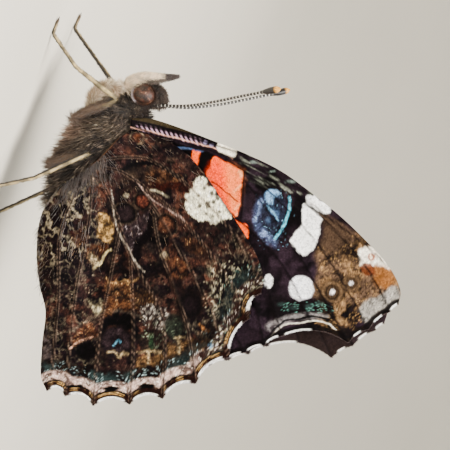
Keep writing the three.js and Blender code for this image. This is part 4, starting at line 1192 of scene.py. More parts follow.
def wing_piece(name, plan, side, grid, paint, paint_upper, look, materials):
    """A wing's sheet with raised veins, painted on both faces and thickened."""
    bpy.ops.object.select_all(action="DESELECT")
    bpy.ops.mesh.primitive_grid_add(x_subdivisions=grid[0], y_subdivisions=grid[1], size=1)
    sheet = bpy.context.object
    sheet.name = name
    mesh = sheet.data
    mesh.name = name
    flat = points_of(mesh)
    u = flat[:, 0] + 0.5
    v = flat[:, 1] + 0.5
    local = wing_places(plan, u, v)
    vein = np.full(len(u), 1e9)
    for line in plan["veins"]:
        vein = np.minimum(vein, distance_to(smooth_line(line, 5), local[:, 0], local[:, 1]))
    edge_line, edge_phase = margin(plan)
    edge = distance_to(edge_line, local[:, 0], local[:, 1])
    phase = np.full(len(u), 0.5)
    near = np.flatnonzero(edge < 1.0)
    apart = np.linalg.norm(local[near][:, None] - edge_line[None], axis=2)
    closest = apart.argmin(1)
    phase[near] = edge_phase[closest]
    white = np.zeros(len(u))
    white[near] = white_share(plan, closest / (len(edge_line) - 1), phase[near])
    shape = (vein, edge, phase, white)
    under = Marks(wing_in_view(plan, local), shape, plan["ground"], plan["seed"], 1.0, plan["rough"])
    paint(under, look)
    under.deepen()
    under.grain(plan["grain"], 5)
    upper = Marks(local, shape, UPPER_GROUND, 91, 0.1)
    paint_upper(upper, look)
    upper.grain(0.1, 6)
    fade = ramp(u, 0.0, 0.06)
    lift = fade * (look.vein_high / MM * np.exp(-(vein / 0.15) ** 2) - 0.1 * (1 - np.exp(-(vein / 0.9) ** 2)))
    points = metres(place_on_wing(plan, side, local, lift))
    mesh.vertices.foreach_set("co", points.ravel())
    if side > 0:
        mesh.flip_normals()
    tint_points(mesh, "under", under.rgb)
    tint_points(mesh, "upper", upper.rgb)
    for share, values in (("share_out", u), ("share_back", v)):
        layer = mesh.attributes.new(share, "FLOAT", "POINT")
        layer.data.foreach_set("value", values.astype(np.float32))
    mesh.materials.clear()
    for material in materials:
        mesh.materials.append(material)
    mesh.update()
    thick = sheet.modifiers.new("sheet", "SOLIDIFY")
    thick.thickness = look.sheet_thick
    thick.offset = 0.0
    thick.material_offset = 1
    thick.use_rim = True
    bpy.context.view_layer.objects.active = sheet
    bpy.ops.object.modifier_apply(modifier=thick.name)
    mesh = sheet.data
    mesh.polygons.foreach_set("use_smooth", np.ones(len(mesh.polygons), bool))
    index = corner_points(mesh)
    shares = [read(mesh.attributes[share].data, "value", np.float32)[index]
              for share in ("share_out", "share_back")]
    inner = np.repeat(read(mesh.polygons, "material_index", np.int32),
                      read(mesh.polygons, "loop_total", np.int32))
    own_uv(mesh, np.stack([shares[1] * 0.48 + 0.01 + 0.5 * inner, shares[0] * 0.98 + 0.01], 1))
    mesh.update()
    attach(sheet, "root")
    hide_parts(name.replace("_scales", ""))
    return sheet


def fringe(name, plan, side, material):
    """The short hair-scales along a wing's edge: white between the vein tips, dark at them."""
    line = margin(plan)[0]
    steps = np.concatenate([[0], np.cumsum(np.linalg.norm(np.diff(line, axis=0), axis=1))])
    count = int(steps[-1] / FRINGE_STEP)
    rng = np.random.default_rng(31)
    share = np.sort(rng.random(count))
    at = along_line(line, share)
    place = np.interp(share, steps / steps[-1], np.linspace(0, 1, len(line)))
    part = place * (len(plan["tips"]) - 1) % 1
    ahead = along_line(line, np.clip(share + 0.002, 0, 1)) - along_line(line, np.clip(share - 0.002, 0, 1))
    out = unit(np.stack([ahead[:, 1], -ahead[:, 0]], 1))
    centre = np.asarray(plan["tips"], float).mean(0) * 0.4
    flip = np.sign(((at - centre) * out).sum(1))[:, None]
    out = out * flip
    roots = place_on_wing(plan, side, at - out * 0.06)
    ends = place_on_wing(plan, side, at + out * 0.3)
    roots[:, 0] += rng.uniform(-0.05, 0.05, count)
    heads = unit(ends - roots) + rng.normal(0, 0.1, (count, 3))
    white = white_share(plan, place, part)[:, None]
    tints = uneven(mix(ink("#2c120e"), ink("#ffffff"), white), rng, 0.12)
    long = FRINGE_LONG[0] + (FRINGE_LONG[1] - FRINGE_LONG[0]) * rng.random(count)
    places = np.stack([0.02 + 0.9 * share, 0.3 + 0.2 * rng.random(count)], 1)
    hairs(name, roots, heads, STRAIGHT, long, FRINGE_THICK, tints, places, material, 0.85)


def wing_fur(name, plan, side, count, where, long, codes, seed, material, lift):
    """Long soft hairs that lie along a wing's face from its root."""
    rng = np.random.default_rng(seed)
    u = rng.random(count * 6)
    v = rng.random(count * 6)
    local = wing_places(plan, u, v)
    keep = np.flatnonzero(rng.random(len(u)) < where(u, v, local))[:count]
    local = local[keep]
    roots = place_on_wing(plan, side, local, lift)
    ends = place_on_wing(plan, side, local * 1.06 + np.array([0.35, 0.1]), lift)
    heads = unit(ends - roots) + lumps(roots, 0.7, seed, 0.22) + rng.normal(0, 0.12, roots.shape)
    heads[:, 0] += side * 0.22 * np.sign(lift)
    bends = np.zeros_like(heads)
    bends[:, 0] = -side * 0.15 * np.sign(lift)
    tints = mixed_tints(roots, codes, 3.0, seed)
    lengths = long * (0.6 + 0.8 * rng.random(len(keep)))
    places = np.stack([0.05 + 0.9 * v[keep], 0.05 + 0.9 * u[keep]], 1)
    hairs(name, roots, heads, bends, lengths, WING_HAIR_THICK, tints, places, material)


class WingLook(bpy.types.PropertyGroup):
    """Sizes and colours of the wings"""

    sheet_thick: bpy.props.FloatProperty(
        name="Sheet thickness", description="How thick a wing is with its scales", default=0.00014,
        min=0.00005, max=0.0005, unit="LENGTH", precision=5)
    vein_high: bpy.props.FloatProperty(
        name="Vein height", description="How far a vein stands out of the wing", default=0.00008,
        min=0.0, max=0.0002, unit="LENGTH", precision=5)
    orange: bpy.props.FloatVectorProperty(
        name="Orange", description="Colour of the forewing's band", default=rgb("#ff5600"), size=3,
        min=0, max=1, subtype="COLOR")
    white: bpy.props.FloatVectorProperty(
        name="White", description="Colour of the forewing's spots", default=rgb("#ffffff"), size=3,
        min=0, max=1, subtype="COLOR")
    cream: bpy.props.FloatVectorProperty(
        name="Cream", description="Colour of the hindwing's pale marks", default=rgb("#f0e9cc"), size=3,
        min=0, max=1, subtype="COLOR")


class WingPaints:
    """The wings' colours as hex codes for laying marks."""

    def __init__(self, look):
        self.vein_high = look.vein_high
        self.sheet_thick = look.sheet_thick
        self.orange_hex = to_hex(look.orange)
        self.white_hex = to_hex(look.white)
        self.cream_hex = to_hex(look.cream)


def to_hex(colour):
    """The hex code of a linear colour."""
    parts = [12.92 * c if c <= 0.0031308 else 1.055 * c ** (1 / 2.4) - 0.055 for c in colour]
    return "#" + "".join("%02x" % round(max(0.0, min(1.0, c)) * 255) for c in parts)


class CoatLook(bpy.types.PropertyGroup):
    """Sizes of the fur"""

    hair_long: bpy.props.FloatProperty(
        name="Hair length", description="Length of the hair on the underside of the chest", default=0.0013,
        min=0.0003, max=0.003, unit="LENGTH", precision=4)
    hair_thick: bpy.props.FloatProperty(
        name="Hair thickness", description="Half thickness of a tuft of hair at its root", default=0.000032,
        min=0.00001, max=0.0001, unit="LENGTH", precision=6)
    coat_deep: bpy.props.FloatProperty(
        name="Coat depth", description="How far the skin lies inside the coat", default=0.0004,
        min=0.0, max=0.001, unit="LENGTH", precision=5)


class StageLook(bpy.types.PropertyGroup):
    """Floor, lights and camera"""

    floor: bpy.props.FloatVectorProperty(
        name="Floor", description="Colour of the plain floor", default=rgb("#ebe4d4"), size=3, min=0, max=1,
        subtype="COLOR")
    key: bpy.props.FloatProperty(
        name="Key light", description="Power of the soft light from above", default=3.7, min=0, max=20,
        unit="POWER")
    fill: bpy.props.FloatProperty(
        name="Fill light", description="Power of the soft light beside the camera", default=0.7, min=0,
        max=20, unit="POWER")
    distance: bpy.props.FloatProperty(
        name="Camera distance", description="How far the camera stands from the wings", default=0.25,
        min=0.1, max=1.0, unit="LENGTH")


class ADMIRAL_OT_forewings(bpy.types.Operator):
    """Make both forewings with their scales and fringes"""

    bl_idname = "admiral.forewings"
    bl_label = "Forewings"

    def execute(self, context):
        look = WingPaints(context.scene.admiral_wings)
        faces = (scales_material("forewing_underside_scales", "under", 0.55, 0.0),
                 scales_material("forewing_upperside_scales", "upper", 0.62, 0.08))
        edge = hair_material("wing_fringe_scales", 0.6, 0.1)
        for side, name in ((1, "left"), (-1, "right")):
            wing_piece("forewing_" + name + "_scales", FOREWING, side, FOREWING_GRID, forewing_under,
                       forewing_upper, look, faces)
            fringe("forewing_" + name + "_fringe", FOREWING, side, edge)
        return {"FINISHED"}


class ADMIRAL_OT_hindwings(bpy.types.Operator):
    """Make both hindwings with their scales, fringes and root fur"""

    bl_idname = "admiral.hindwings"
    bl_label = "Hindwings"

    def execute(self, context):
        look = WingPaints(context.scene.admiral_wings)
        faces = (scales_material("hindwing_underside_scales", "under", 0.6, 0.0),
                 scales_material("hindwing_upperside_scales", "upper", 0.62, 0.08))
        edge = hair_material("hindwing_fringe_scales", 0.6, 0.1)
        fur = hair_material("wing_root_hair", 0.65, 0.2)
        for side, name in ((1, "left"), (-1, "right")):
            wing_piece("hindwing_" + name + "_scales", HINDWING, side, HINDWING_GRID, hindwing_under,
                       hindwing_upper, look, faces)
            fringe("hindwing_" + name + "_fringe", HINDWING, side, edge)
            wing_fur("wing_root_fur_" + name, HINDWING, side, 900,
                     lambda u, v, at: fall(np.hypot(at[:, 0] - 0.3, at[:, 1] - 0.6), 1.0, 3.4) * 0.9,
                     1.0, ("#1c1413", "#372b28", "#60514a"), 71, fur, 0.09)
            wing_fur("wing_vein_fur_" + name, HINDWING, side, 260,
                     lambda u, v, at: ramp(v, 0.58, 0.7) * fall(v, 0.78, 0.88) * fall(u, 0.24, 0.5),
                     1.2, ("#2b2322", "#5e5350", "#948881"), 74, fur, 0.09)
            wing_fur("wing_hem_fur_" + name, HINDWING, side, 600,
                     lambda u, v, at: ramp(v, 0.955, 1.0) * fall(u, 0.5, 0.8),
                     0.6, ("#2a2120", "#463a37", "#6f625b"), 72, fur, 0.09)
            wing_fur("wing_inner_fur_" + name, HINDWING, side, 2600,
                     lambda u, v, at: fall(at[:, 0], 4.0, 11.0) * 0.8,
                     1.0, ("#3c2a20", "#5c4230", "#7d6248"), 73, fur, -0.09)
        return {"FINISHED"}


def body_skin(context):
    """One skin over head, chest and abdomen, drawn in under the coat."""
    deep = context.scene.admiral_coat.coat_deep / MM
    copies = []
    for name in ("thorax", "abdomen", "head"):
        copy = bpy.data.objects.new("skin_" + name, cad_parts[name].data.copy())
        context.scene.collection.objects.link(copy)
        copies.append(copy)
    for at, size in SKIN_JOINS:
        bpy.ops.object.select_all(action="DESELECT")
        bpy.ops.mesh.primitive_uv_sphere_add(segments=32, ring_count=20, radius=1)
        ball = context.object
        ball.data.vertices.foreach_set("co", metres(points_of(ball.data) * size + at).ravel())
        copies.append(ball)
    bpy.ops.object.select_all(action="DESELECT")
    for copy in copies:
        copy.select_set(True)
    context.view_layer.objects.active = copies[0]
    bpy.ops.object.join()
    skin = context.object
    skin.name = "body_skin"
    skin.data.name = "body_skin"
    voxels = skin.modifiers.new("voxels", "REMESH")
    voxels.mode = "VOXEL"
    voxels.voxel_size = SKIN_VOXEL * MM
    bpy.ops.object.modifier_apply(modifier=voxels.name)
    mesh = skin.data
    at = millimetres(points_of(mesh))
    inward = deep * np.interp(at[:, 1], [2.0, 4.5, 14.0, 17.0], [0.35, 1.0, 1.0, 0.3])
    mesh.vertices.foreach_set("co", metres(at - normals_of(mesh) * inward[:, None]).ravel())
    smooth = skin.modifiers.new("smooth", "SMOOTH")
    smooth.factor = 0.5
    smooth.iterations = 6
    bpy.ops.object.modifier_apply(modifier=smooth.name)
    mesh = skin.data
    mesh.polygons.foreach_set("use_smooth", np.ones(len(mesh.polygons), bool))
    at = millimetres(points_of(mesh))
    # The skin takes the coat's colours at about a third of their brightness: dark cuticle, and painted shade
    # where it shows between the hairs.
    tint_points(mesh, "tint", body_tints(at, 5) * 0.35)
    own_uv(mesh, body_uv(at)[corner_points(mesh)])
    mesh.materials.clear()
    mesh.materials.append(skin_material("body_cuticle"))
    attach(skin, "root")
    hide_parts("thorax", "abdomen", "head")
    return skin


def body_tints(at, seed):
    """Colours over the body: dark collar, tan throat, grey-brown chest, banded abdomen."""
    base = mixed_tints(at, ("#1c1312", "#4a3b35", "#94826f", "#33271f", "#8a7866"), 2.0, seed, 0.4)
    axis = np.interp(at[:, 1], [NECK[0], WAIST[0]], [NECK[1], WAIST[1]])
    breast = (ramp(axis - at[:, 2], 1.8, 3.1) * fall(at[:, 1], 7.0, 13.0))[:, None]
    base = mix(base, mixed_tints(at, ("#5c443c", "#a5826f", "#cba994"), 1.8, seed + 6), breast)
    throat = fall(at[:, 2] + 0.93 * at[:, 1], 11.0, 11.9)[:, None]
    base = mix(base, mixed_tints(at, ("#b08c74", "#e8caac", "#f6e2c8"), 1.5, seed + 1), throat)
    collar = (ramp(at[:, 2], 10.2, 10.8) * fall(np.abs(at[:, 1] - 4.4), 0.8, 1.6))[:, None]
    base = mix(base, mixed_tints(at, ("#2c1d18", "#4d382c"), 1.5, seed + 2), collar)
    frons = (ramp(at[:, 2], 10.6, 11.4) * fall(at[:, 1], 2.6, 3.2))[:, None]
    base = mix(base, mixed_tints(at, ("#3d2e28", "#6b594c"), 1.2, seed + 3), frons)
    rear = ramp(at[:, 1], 15.0, 16.5)
    middle = np.interp(at[:, 1], [WAIST[0], TAIL[0]], [WAIST[1], TAIL[1]])
    below = fall(at[:, 2] - middle, -1.0, -0.3)
    ring = 0.5 + 0.5 * np.cos((at[:, 1] - 15.6) * 2 * np.pi / 1.42)
    back = mixed_tints(at, ("#241813", "#4c3626"), 1.8, seed + 4) * (1 + 0.7 * ring ** 4)[:, None]
    belly = mixed_tints(at, ("#8a7460", "#b8a48c"), 1.8, seed + 5)
    return mix(base, mix(back, belly, below[:, None]), rear[:, None])


def in_eye(at, grown):
    """Which places lie inside an eye."""
    far = np.zeros(len(at), bool)
    for side in (1, -1):
        centre = np.array(EYE_AT) * (side, 1, 1)
        far |= (((at - centre) / (np.array(EYE_RADII) * grown)) ** 2).sum(1) < 1
    return far


class ADMIRAL_OT_body(bpy.types.Operator):
    """Make the body's skin and its coat of fur"""

    bl_idname = "admiral.body"
    bl_label = "Body and fur"

    def execute(self, context):
        coat = context.scene.admiral_coat
        skin = body_skin(context)
        fur = hair_material("chest_fur", 0.6, 0.08)
        thick = coat.hair_thick / MM
        long = coat.hair_long / MM
        parts = (
            ("chest_fur_left", 10500, 101, lambda c: (c[:, 0] > 0) * ramp(c[:, 1], 3.6, 4.6)
             * fall(c[:, 1], 14.8, 16.4)),
            ("chest_fur_right", 10500, 102, lambda c: (c[:, 0] <= 0) * ramp(c[:, 1], 3.6, 4.6)
             * fall(c[:, 1], 14.8, 16.4)),
            ("head_fur", 6500, 103, lambda c: fall(c[:, 1], 4.0, 4.6) * ~in_eye(c, 0.97)),
            ("abdomen_fur", 11000, 105, lambda c: ramp(c[:, 1], 14.6, 15.8)),
        )
        for name, count, seed, weight in parts:
            at, normal = scatter(skin.data, count, seed, weight)
            rng = np.random.default_rng(seed)
            push = np.zeros_like(at)
            if name.startswith("chest_fur"):
                push[:] = (0.0, 0.55, -0.3)
                nape = ramp(at[:, 2], 10.2, 11.2) * fall(at[:, 1], 5.4, 7.4)
                push += nape[:, None] * (0.0, -0.7, 0.7)
                size = long * (np.interp(at[:, 2], [4.0, 7.0, 11.0], [1.15, 1.0, 0.6]) + 0.35 * nape)
                rise = 0.75
                loose = 0.28
            elif name == "head_fur":
                push[:, 1] = np.where(at[:, 2] > 10.4, 0.1, -0.3)
                push[:, 2] = np.where(at[:, 2] > 10.4, 0.5, 0.05)
                size = np.interp(at[:, 2], [8.2, 9.6, 12.6], [0.6, 0.4, 0.62])
                rise = 0.8
                loose = 0.24
            else:
                push[:] = (0.0, 1.3, -0.1)
                size = np.interp(at[:, 1], [15.0, 18.0, 25.0, 27.0], [0.9, 0.45, 0.42, 0.8])
                rise = 0.38
                loose = 0.14
            heads = normal * rise + push + lumps(at, 0.55, seed, loose) + rng.normal(0, loose * 0.6, at.shape)
            bends = np.zeros_like(at)
            bends[:, 1] = 0.18
            bends[:, 2] = -0.16
            tints = uneven(body_tints(at, seed), rng, 0.5, -0.34)
            size = size * (0.6 + 0.7 * rng.random(len(at)))
            ends = at + unit(heads) * size[:, None]
            keep = ~in_eye(ends, 1.02) & (ends[:, 2] > 0.3)
            # Roots at a tenth of the hair's colour: painted shade deep in the coat.
            hairs(name, (at - normal * 0.06)[keep], heads[keep], bends[keep], size[keep], thick,
                  tints[keep], body_uv(at[keep]), fur, 0.1)
        return {"FINISHED"}


class ADMIRAL_OT_head(bpy.types.Operator):
    """Make the eyes, palps and coiled tongue"""

    bl_idname = "admiral.head"
    bl_label = "Eyes, palps and tongue"

    def execute(self, context):
        surface = eye_material("faceted_eye")
        lashes = hair_material("eye_hair", 0.5, 0.0)
        pale = hair_material("palp_scales", 0.6, 0.2)
        for side, name in ((1, "left"), (-1, "right")):
            self.eye(context, side, name, surface, lashes)
            self.palp(side, name, pale)
        self.tongue()
        return {"FINISHED"}

    def eye(self, context, side, name, surface, lashes):
        bpy.ops.object.select_all(action="DESELECT")
        bpy.ops.mesh.primitive_uv_sphere_add(segments=72, ring_count=48, radius=1)
        globe = context.object
        globe.name = "eye_globe_" + name
        centre = np.array(EYE_AT) * (side, 1, 1)
        ball = points_of(globe.data)
        globe.data.vertices.foreach_set("co", metres(ball * EYE_RADII + centre).ravel())
        bpy.ops.object.shade_smooth()
        globe.data.materials.clear()
        globe.data.materials.append(surface)
        globe.data.update()
        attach(globe, "root")
        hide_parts("eye_" + name)
        rng = np.random.default_rng(7)
        count, thick = EYE_HAIRS
        turn = unit(rng.normal(size=(count, 3)))
        turn = turn[turn[:, 0] * side > -0.1]
        at = turn * EYE_RADII + centre
        heads = unit(turn / np.array(EYE_RADII)) + rng.normal(0, 0.15, turn.shape)
        tints = uneven(np.tile(rgb("#6a4630"), (len(at), 1)), rng, 0.3)
        places = np.stack([0.5 + turn[:, 1] * 0.45, 0.5 + turn[:, 2] * 0.45], 1)
        hairs("eye_hair_" + name, at, heads, STRAIGHT, 0.16, thick, tints, places, lashes)
        count, thick = EYE_RIM_HAIRS
        rim_turn = rng.random(count) * 2 * np.pi
        rim = np.stack([np.full(count, 0.12), np.cos(rim_turn) * 0.98, np.sin(rim_turn) * 0.98], 1)
        at = rim * EYE_RADII * (side, 1, 1) + centre
        heads = rim * (side * 0.2, 1, 1) + np.array([side * 0.5, 0.15, 0.0]) + rng.normal(0, 0.14, at.shape)
        white = ramp(np.cos(rim_turn + 1.15), 0.66, 0.9)[:, None]
        tints = mix(ink("#2c1d18"), ink("#d9cbd0"), white)
        places = np.stack([rim_turn / 7, np.full(count, 0.5)], 1)
        hairs("eye_rim_" + name, at, heads, STRAIGHT, 0.3, thick, tints, places, lashes, 0.8)

    def palp(self, side, name, pale):
        line = smooth_line(np.array(PALP) * (side, 1, 1), 8)
        shares = np.linspace(0, 1, 49)
        centre = along_line(line, shares)
        radii = np.interp(shares, np.linspace(0, 1, len(PALP)), PALP_SIZES)
        mesh, along = tube_mesh("palp_" + name + "_scaled", centre, radii, 14)
        colours = np.where((along > 0.72)[:, None], rgb("#33221c"), rgb("#ecd8bc"))
        tint_points(mesh, "tint", colours)
        new_piece("palp_" + name + "_scaled", mesh, pale, ("palp_" + name,))
        count, thick = PALP_HAIRS
        at, normal = scatter(mesh, count, 41)
        rng = np.random.default_rng(43)
        nearest, ahead = nearest_on(line, at)
        share = nearest / (len(line) - 1)
        inner = ramp(normal[:, 1], -0.2, 0.6) * fall(share, 0.5, 0.7)
        heads = ahead + normal * (0.42 + 0.9 * inner)[:, None] + rng.normal(0, 0.12, at.shape)
        top = ramp(normal[:, 1], 0.1, 0.5) * ramp(share, 0.3, 0.45)
        dark = np.maximum(ramp(share, 0.66, 0.74), top * 0.9)[:, None]
        tints = uneven(mix(ink("#fae4c6"), ink("#33211b"), dark), rng, 0.14)
        places = np.stack([0.1 + 0.8 * share, 0.5 + 0.4 * normal[:, 0]], 1)
        fuller = (1 - 0.35 * share) * (1 + 0.5 * inner) * (1 + 0.8 * fall(share, 0.1, 0.45))
        long = 0.42 * (0.6 + 0.6 * rng.random(len(at))) * fuller
        hairs("palp_hair_" + name, at, heads, STRAIGHT, long, thick, tints, places, pale, 0.75)

    def tongue(self):
        turns = np.linspace(0, 1, 140)
        angle = turns * 2 * np.pi * TONGUE_TURNS
        radius = TONGUE_RADIUS * (1 - turns * 0.8)
        line = np.stack([
            np.full(140, TONGUE_AT[0]),
            TONGUE_AT[1] + np.cos(angle) * radius,
            TONGUE_AT[2] + np.sin(angle) * radius,
        ], 1)
        mesh, along = tube_mesh("tongue_coil", line, 0.075 * (1 - 0.4 * turns), 10)
        ring = 0.75 + 0.25 * np.cos(along * 2 * np.pi * 60)
        tint_points(mesh, "tint", ink("#5a3d24") * ring[:, None])
        new_piece("tongue_coil", mesh, horn_material("tongue_horn", 0.4, 0.3), ("proboscis",))


class ADMIRAL_OT_feelers(bpy.types.Operator):
    """Make both feelers, ringed with white and tipped with orange"""

    bl_idname = "admiral.feelers"
    bl_label = "Feelers"

    def execute(self, context):
        horn = horn_material("feeler_scales", 0.45, 0.2)
        for side, name in ((1, "left"), (-1, "right")):
            points = np.array(ANTENNA) * (side, 1, 1)
            if side < 0:
                points[:, 1] -= np.linspace(0, 1, len(points)) ** 2 * ANTENNA_RIGHT_FORWARD
            shares = np.linspace(0, 1, 480)
            centre = along_line(smooth_line(points, 16), shares)
            beat = np.abs((shares * FEELER_RINGS) % 1 - 0.5) * 2
            radii = FEELER_RADIUS + 0.02 * (1 - beat ** 2)
            club = ramp(shares, 0.82, 0.93)
            radii = mix(radii, CLUB_RADIUS, club)
            radii = radii * np.sqrt(np.clip(1 - ramp(shares, 0.955, 1.0) ** 2 * 0.92, 0.05, 1))
            base = fall(shares, 0.0, 0.02)
            radii = radii + base * 0.12
            mesh, along = tube_mesh("feeler_" + name, centre, radii, 14)
            white = ramp(np.abs((along * FEELER_RINGS) % 1 - 0.5) * 2, 0.72, 0.86) * fall(along, 0.84, 0.87)
            colours = np.tile(rgb("#17120f"), (len(along), 1))
            colours = mix(colours, ink("#e2ded4"), white[:, None])
            tip = ramp(along, 0.95, 0.975)[:, None]
            colours = mix(colours, ink("#e0a040"), tip)
            tint_points(mesh, "tint", colours)
            new_piece("feeler_" + name, mesh, horn, ("antenna_" + name,))
        return {"FINISHED"}


def leg_shape(points):
    """A walking leg's centre line and radii, from the hip to the claws."""
    hip, turn, knee, ankle, sole, toe = (np.array(p, float) for p in points)
    side = np.sign(hip[0])
    inner = hip + np.array([-side * 0.5, 0.1, 0.9])
    sole[2] = 0.2
    toe[2] = 0.16
    line = []
    radii = []
    spans = (
        (inner, turn, 0.42, 0.3, 0.1),
        (turn, knee, 0.27, 0.2, 0.1),
        (knee, ankle, 0.2, 0.17, 0.03),
        (ankle, sole, 0.16, 0.15, 0.0),
        (sole, toe, 0.15, 0.11, 0.0),
    )
    for (start, end, first, last, belly), count in zip(spans, LEG_STEPS):
        for t in np.arange(count) / count:
            swell_here = belly * np.sin(np.pi * t)
            line.append(start + (end - start) * t)
            radii.append(first + (last - first) * t + swell_here)
    line.append(toe)
    radii.append(0.08)
    line = np.array(line)
    radii = np.array(radii)
    for _ in range(2):
        line[1:-1] = line[1:-1] * 0.5 + (line[:-2] + line[2:]) * 0.25
    shares = np.linspace(0, 1, len(line))
    foot = shares > ANKLE
    along = (shares[foot] - ANKLE) / (1 - ANKLE)
    radii[foot] *= 1 + 0.14 * np.abs(np.sin(along * np.pi * FOOT_SEGMENTS))
    return line, np.minimum(radii, np.maximum(line[:, 2] - 0.005, 0.05)), shares


class ADMIRAL_OT_legs(bpy.types.Operator):
    """Make the four walking legs and the two brush feet"""

    bl_idname = "admiral.legs"
    bl_label = "Legs"

    def execute(self, context):
        horn = horn_material("leg_scales", 0.55, 0.25)
        down = hair_material("leg_down", 0.6, 0.15)
        for name, points in LEGS.items():
            self.walking_leg(name, points, horn, down)
        for side, name in ((1, "left"), (-1, "right")):
            self.brush_foot(side, name, horn, down)
        return {"FINISHED"}

    def walking_leg(self, name, points, horn, down):
        line, radii, shares = leg_shape(points)
        mesh, along = tube_mesh(name + "_scaled", line, radii, 12)
        normal = normals_of(mesh)
        tint_points(mesh, "tint", self.tints(along, normal, 3))
        new_piece(name + "_scaled", mesh, horn, (name,))
        count, thick = LEG_HAIRS
        at, normal = scatter(mesh, count, 61)
        rng = np.random.default_rng(67)
        nearest, ahead = nearest_on(line, at)
        share = shares[nearest]
        heads = ahead * 0.9 + normal * 0.4 + rng.normal(0, 0.1, at.shape)
        long = np.interp(share, *LEG_DOWN) * (0.6 + 0.7 * rng.random(len(at)))
        ends = at + unit(heads) * long[:, None]
        keep = ends[:, 2] > 0.04
        places = np.stack([0.05 + 0.9 * share, 0.5 + 0.4 * normal[:, 0]], 1)
        hairs(name + "_down", at[keep], heads[keep], STRAIGHT, long[keep], thick,
              self.tints(share, normal, 9)[keep], places[keep], down, 0.7)
        self.spines(name, line, horn)

    def tints(self, share, normal, seed):
        rng = np.random.default_rng(seed)
        # Pale tan where the leg faces up and near black where it faces down: painted light from above and
        # painted shade beneath, over the leg's own mottling.
        top = ramp(normal[:, 2] + normal[:, 1] * 0.2, -0.25, 0.3)[:, None]
        mottled = ramp(clouds(share * 60, normal[:, 0], 1.5, 23, 2), 0.4, 0.62)[:, None]
        colours = ink("#c4ad7c") * top * (0.35 + 0.65 * mottled) + ink("#1c130e") * (1 - top)
        hip = fall(share, 0.24, 0.36)[:, None]
        colours = mix(colours, ink("#5e4a3c"), hip)
        foot = ramp(share, 0.9, 0.99)[:, None]
        colours = mix(colours, ink("#4a3a28"), foot)
        return uneven(colours, rng, 0.15)

    def spines(self, name, line, horn):
        """Short stiff spines below the shin and foot, two spurs at the ankle and two claws."""
        ahead = unit(np.gradient(line, axis=0))
        roots = []
        heads = []
        long = []
        thick = []
        for share in np.arange(0.42, 0.95, 0.035):
            k = int(share * (len(line) - 1))
            across = unit(np.cross(ahead[k], [0.0, 0.0, 1.0]))
            down = unit(np.cross(across, ahead[k]))
            down = down if down[2] < 0 else -down
            for turn in (-0.7, 0.7):
                heading = across * turn + down * (0.5 if share < 0.62 else 0.05) + ahead[k] * 0.9
                roots.append(line[k])
                heads.append(heading)
                long.append(0.42 if share < 0.62 else 0.3)
                thick.append(0.024)
        ankle = int(0.62 * (len(line) - 1))
        across = unit(np.cross(ahead[ankle], [0.0, 0.0, 1.0]))
        for turn in (-0.45, 0.45):
            roots.append(line[ankle])
            heads.append(across * turn + ahead[ankle])
            long.append(0.75)
            thick.append(0.05)
            roots.append(line[-1] + np.array([0, 0, 0.02]))
            heads.append(unit(np.cross(ahead[-1], [0.0, 0.0, 1.0])) * turn + ahead[-1] * 0.9)
            long.append(0.34)
            thick.append(0.05)
        roots = np.array(roots)
        heads = np.array(heads)
        ends = roots + unit(heads) * np.array(long)[:, None]
        heads[:, 2] += np.where(ends[:, 2] < 0.03, 0.3, 0.0)
        tints = np.tile(rgb("#2c1f17"), (len(roots), 1))
        places = np.stack([np.linspace(0.1, 0.9, len(roots)), np.full(len(roots), 0.5)], 1)
        hairs(name + "_spines", roots, heads, STRAIGHT, long, thick, tints, places, horn)

    def brush_foot(self, side, name, horn, down):
        line = smooth_line(np.array(FORELEG) * (side, 1, 1), 8)
        centre = along_line(line, np.linspace(0, 1, 41))
        radii = np.interp(np.linspace(0, 1, 41), np.linspace(0, 1, len(FORELEG)), FORELEG_SIZES)
        mesh, along = tube_mesh("foreleg_" + name + "_scaled", centre, radii, 12)
        tint_points(mesh, "tint", np.tile(rgb("#b89c80"), (len(along), 1)))
        new_piece("foreleg_" + name + "_scaled", mesh, horn, ("foreleg_" + name,))
        count, thick = BRUSH_HAIRS
        at, normal = scatter(mesh, count, 81)
        rng = np.random.default_rng(83)
        nearest, ahead = nearest_on(line, at)
        heads = ahead * 0.8 + normal * 0.7 + rng.normal(0, 0.2, at.shape)
        tints = mixed_tints(at, ("#b89878", "#e6d0b0", "#fbeed6"), 1.2, 85)
        places = np.stack([0.05 + 0.9 * nearest / len(line), 0.5 + 0.4 * normal[:, 0]], 1)
        long = 0.68 * (0.6 + 0.8 * rng.random(len(at)))
        hairs("foreleg_brush_" + name, at, heads, STRAIGHT, long, thick, tints, places, down, 0.6)


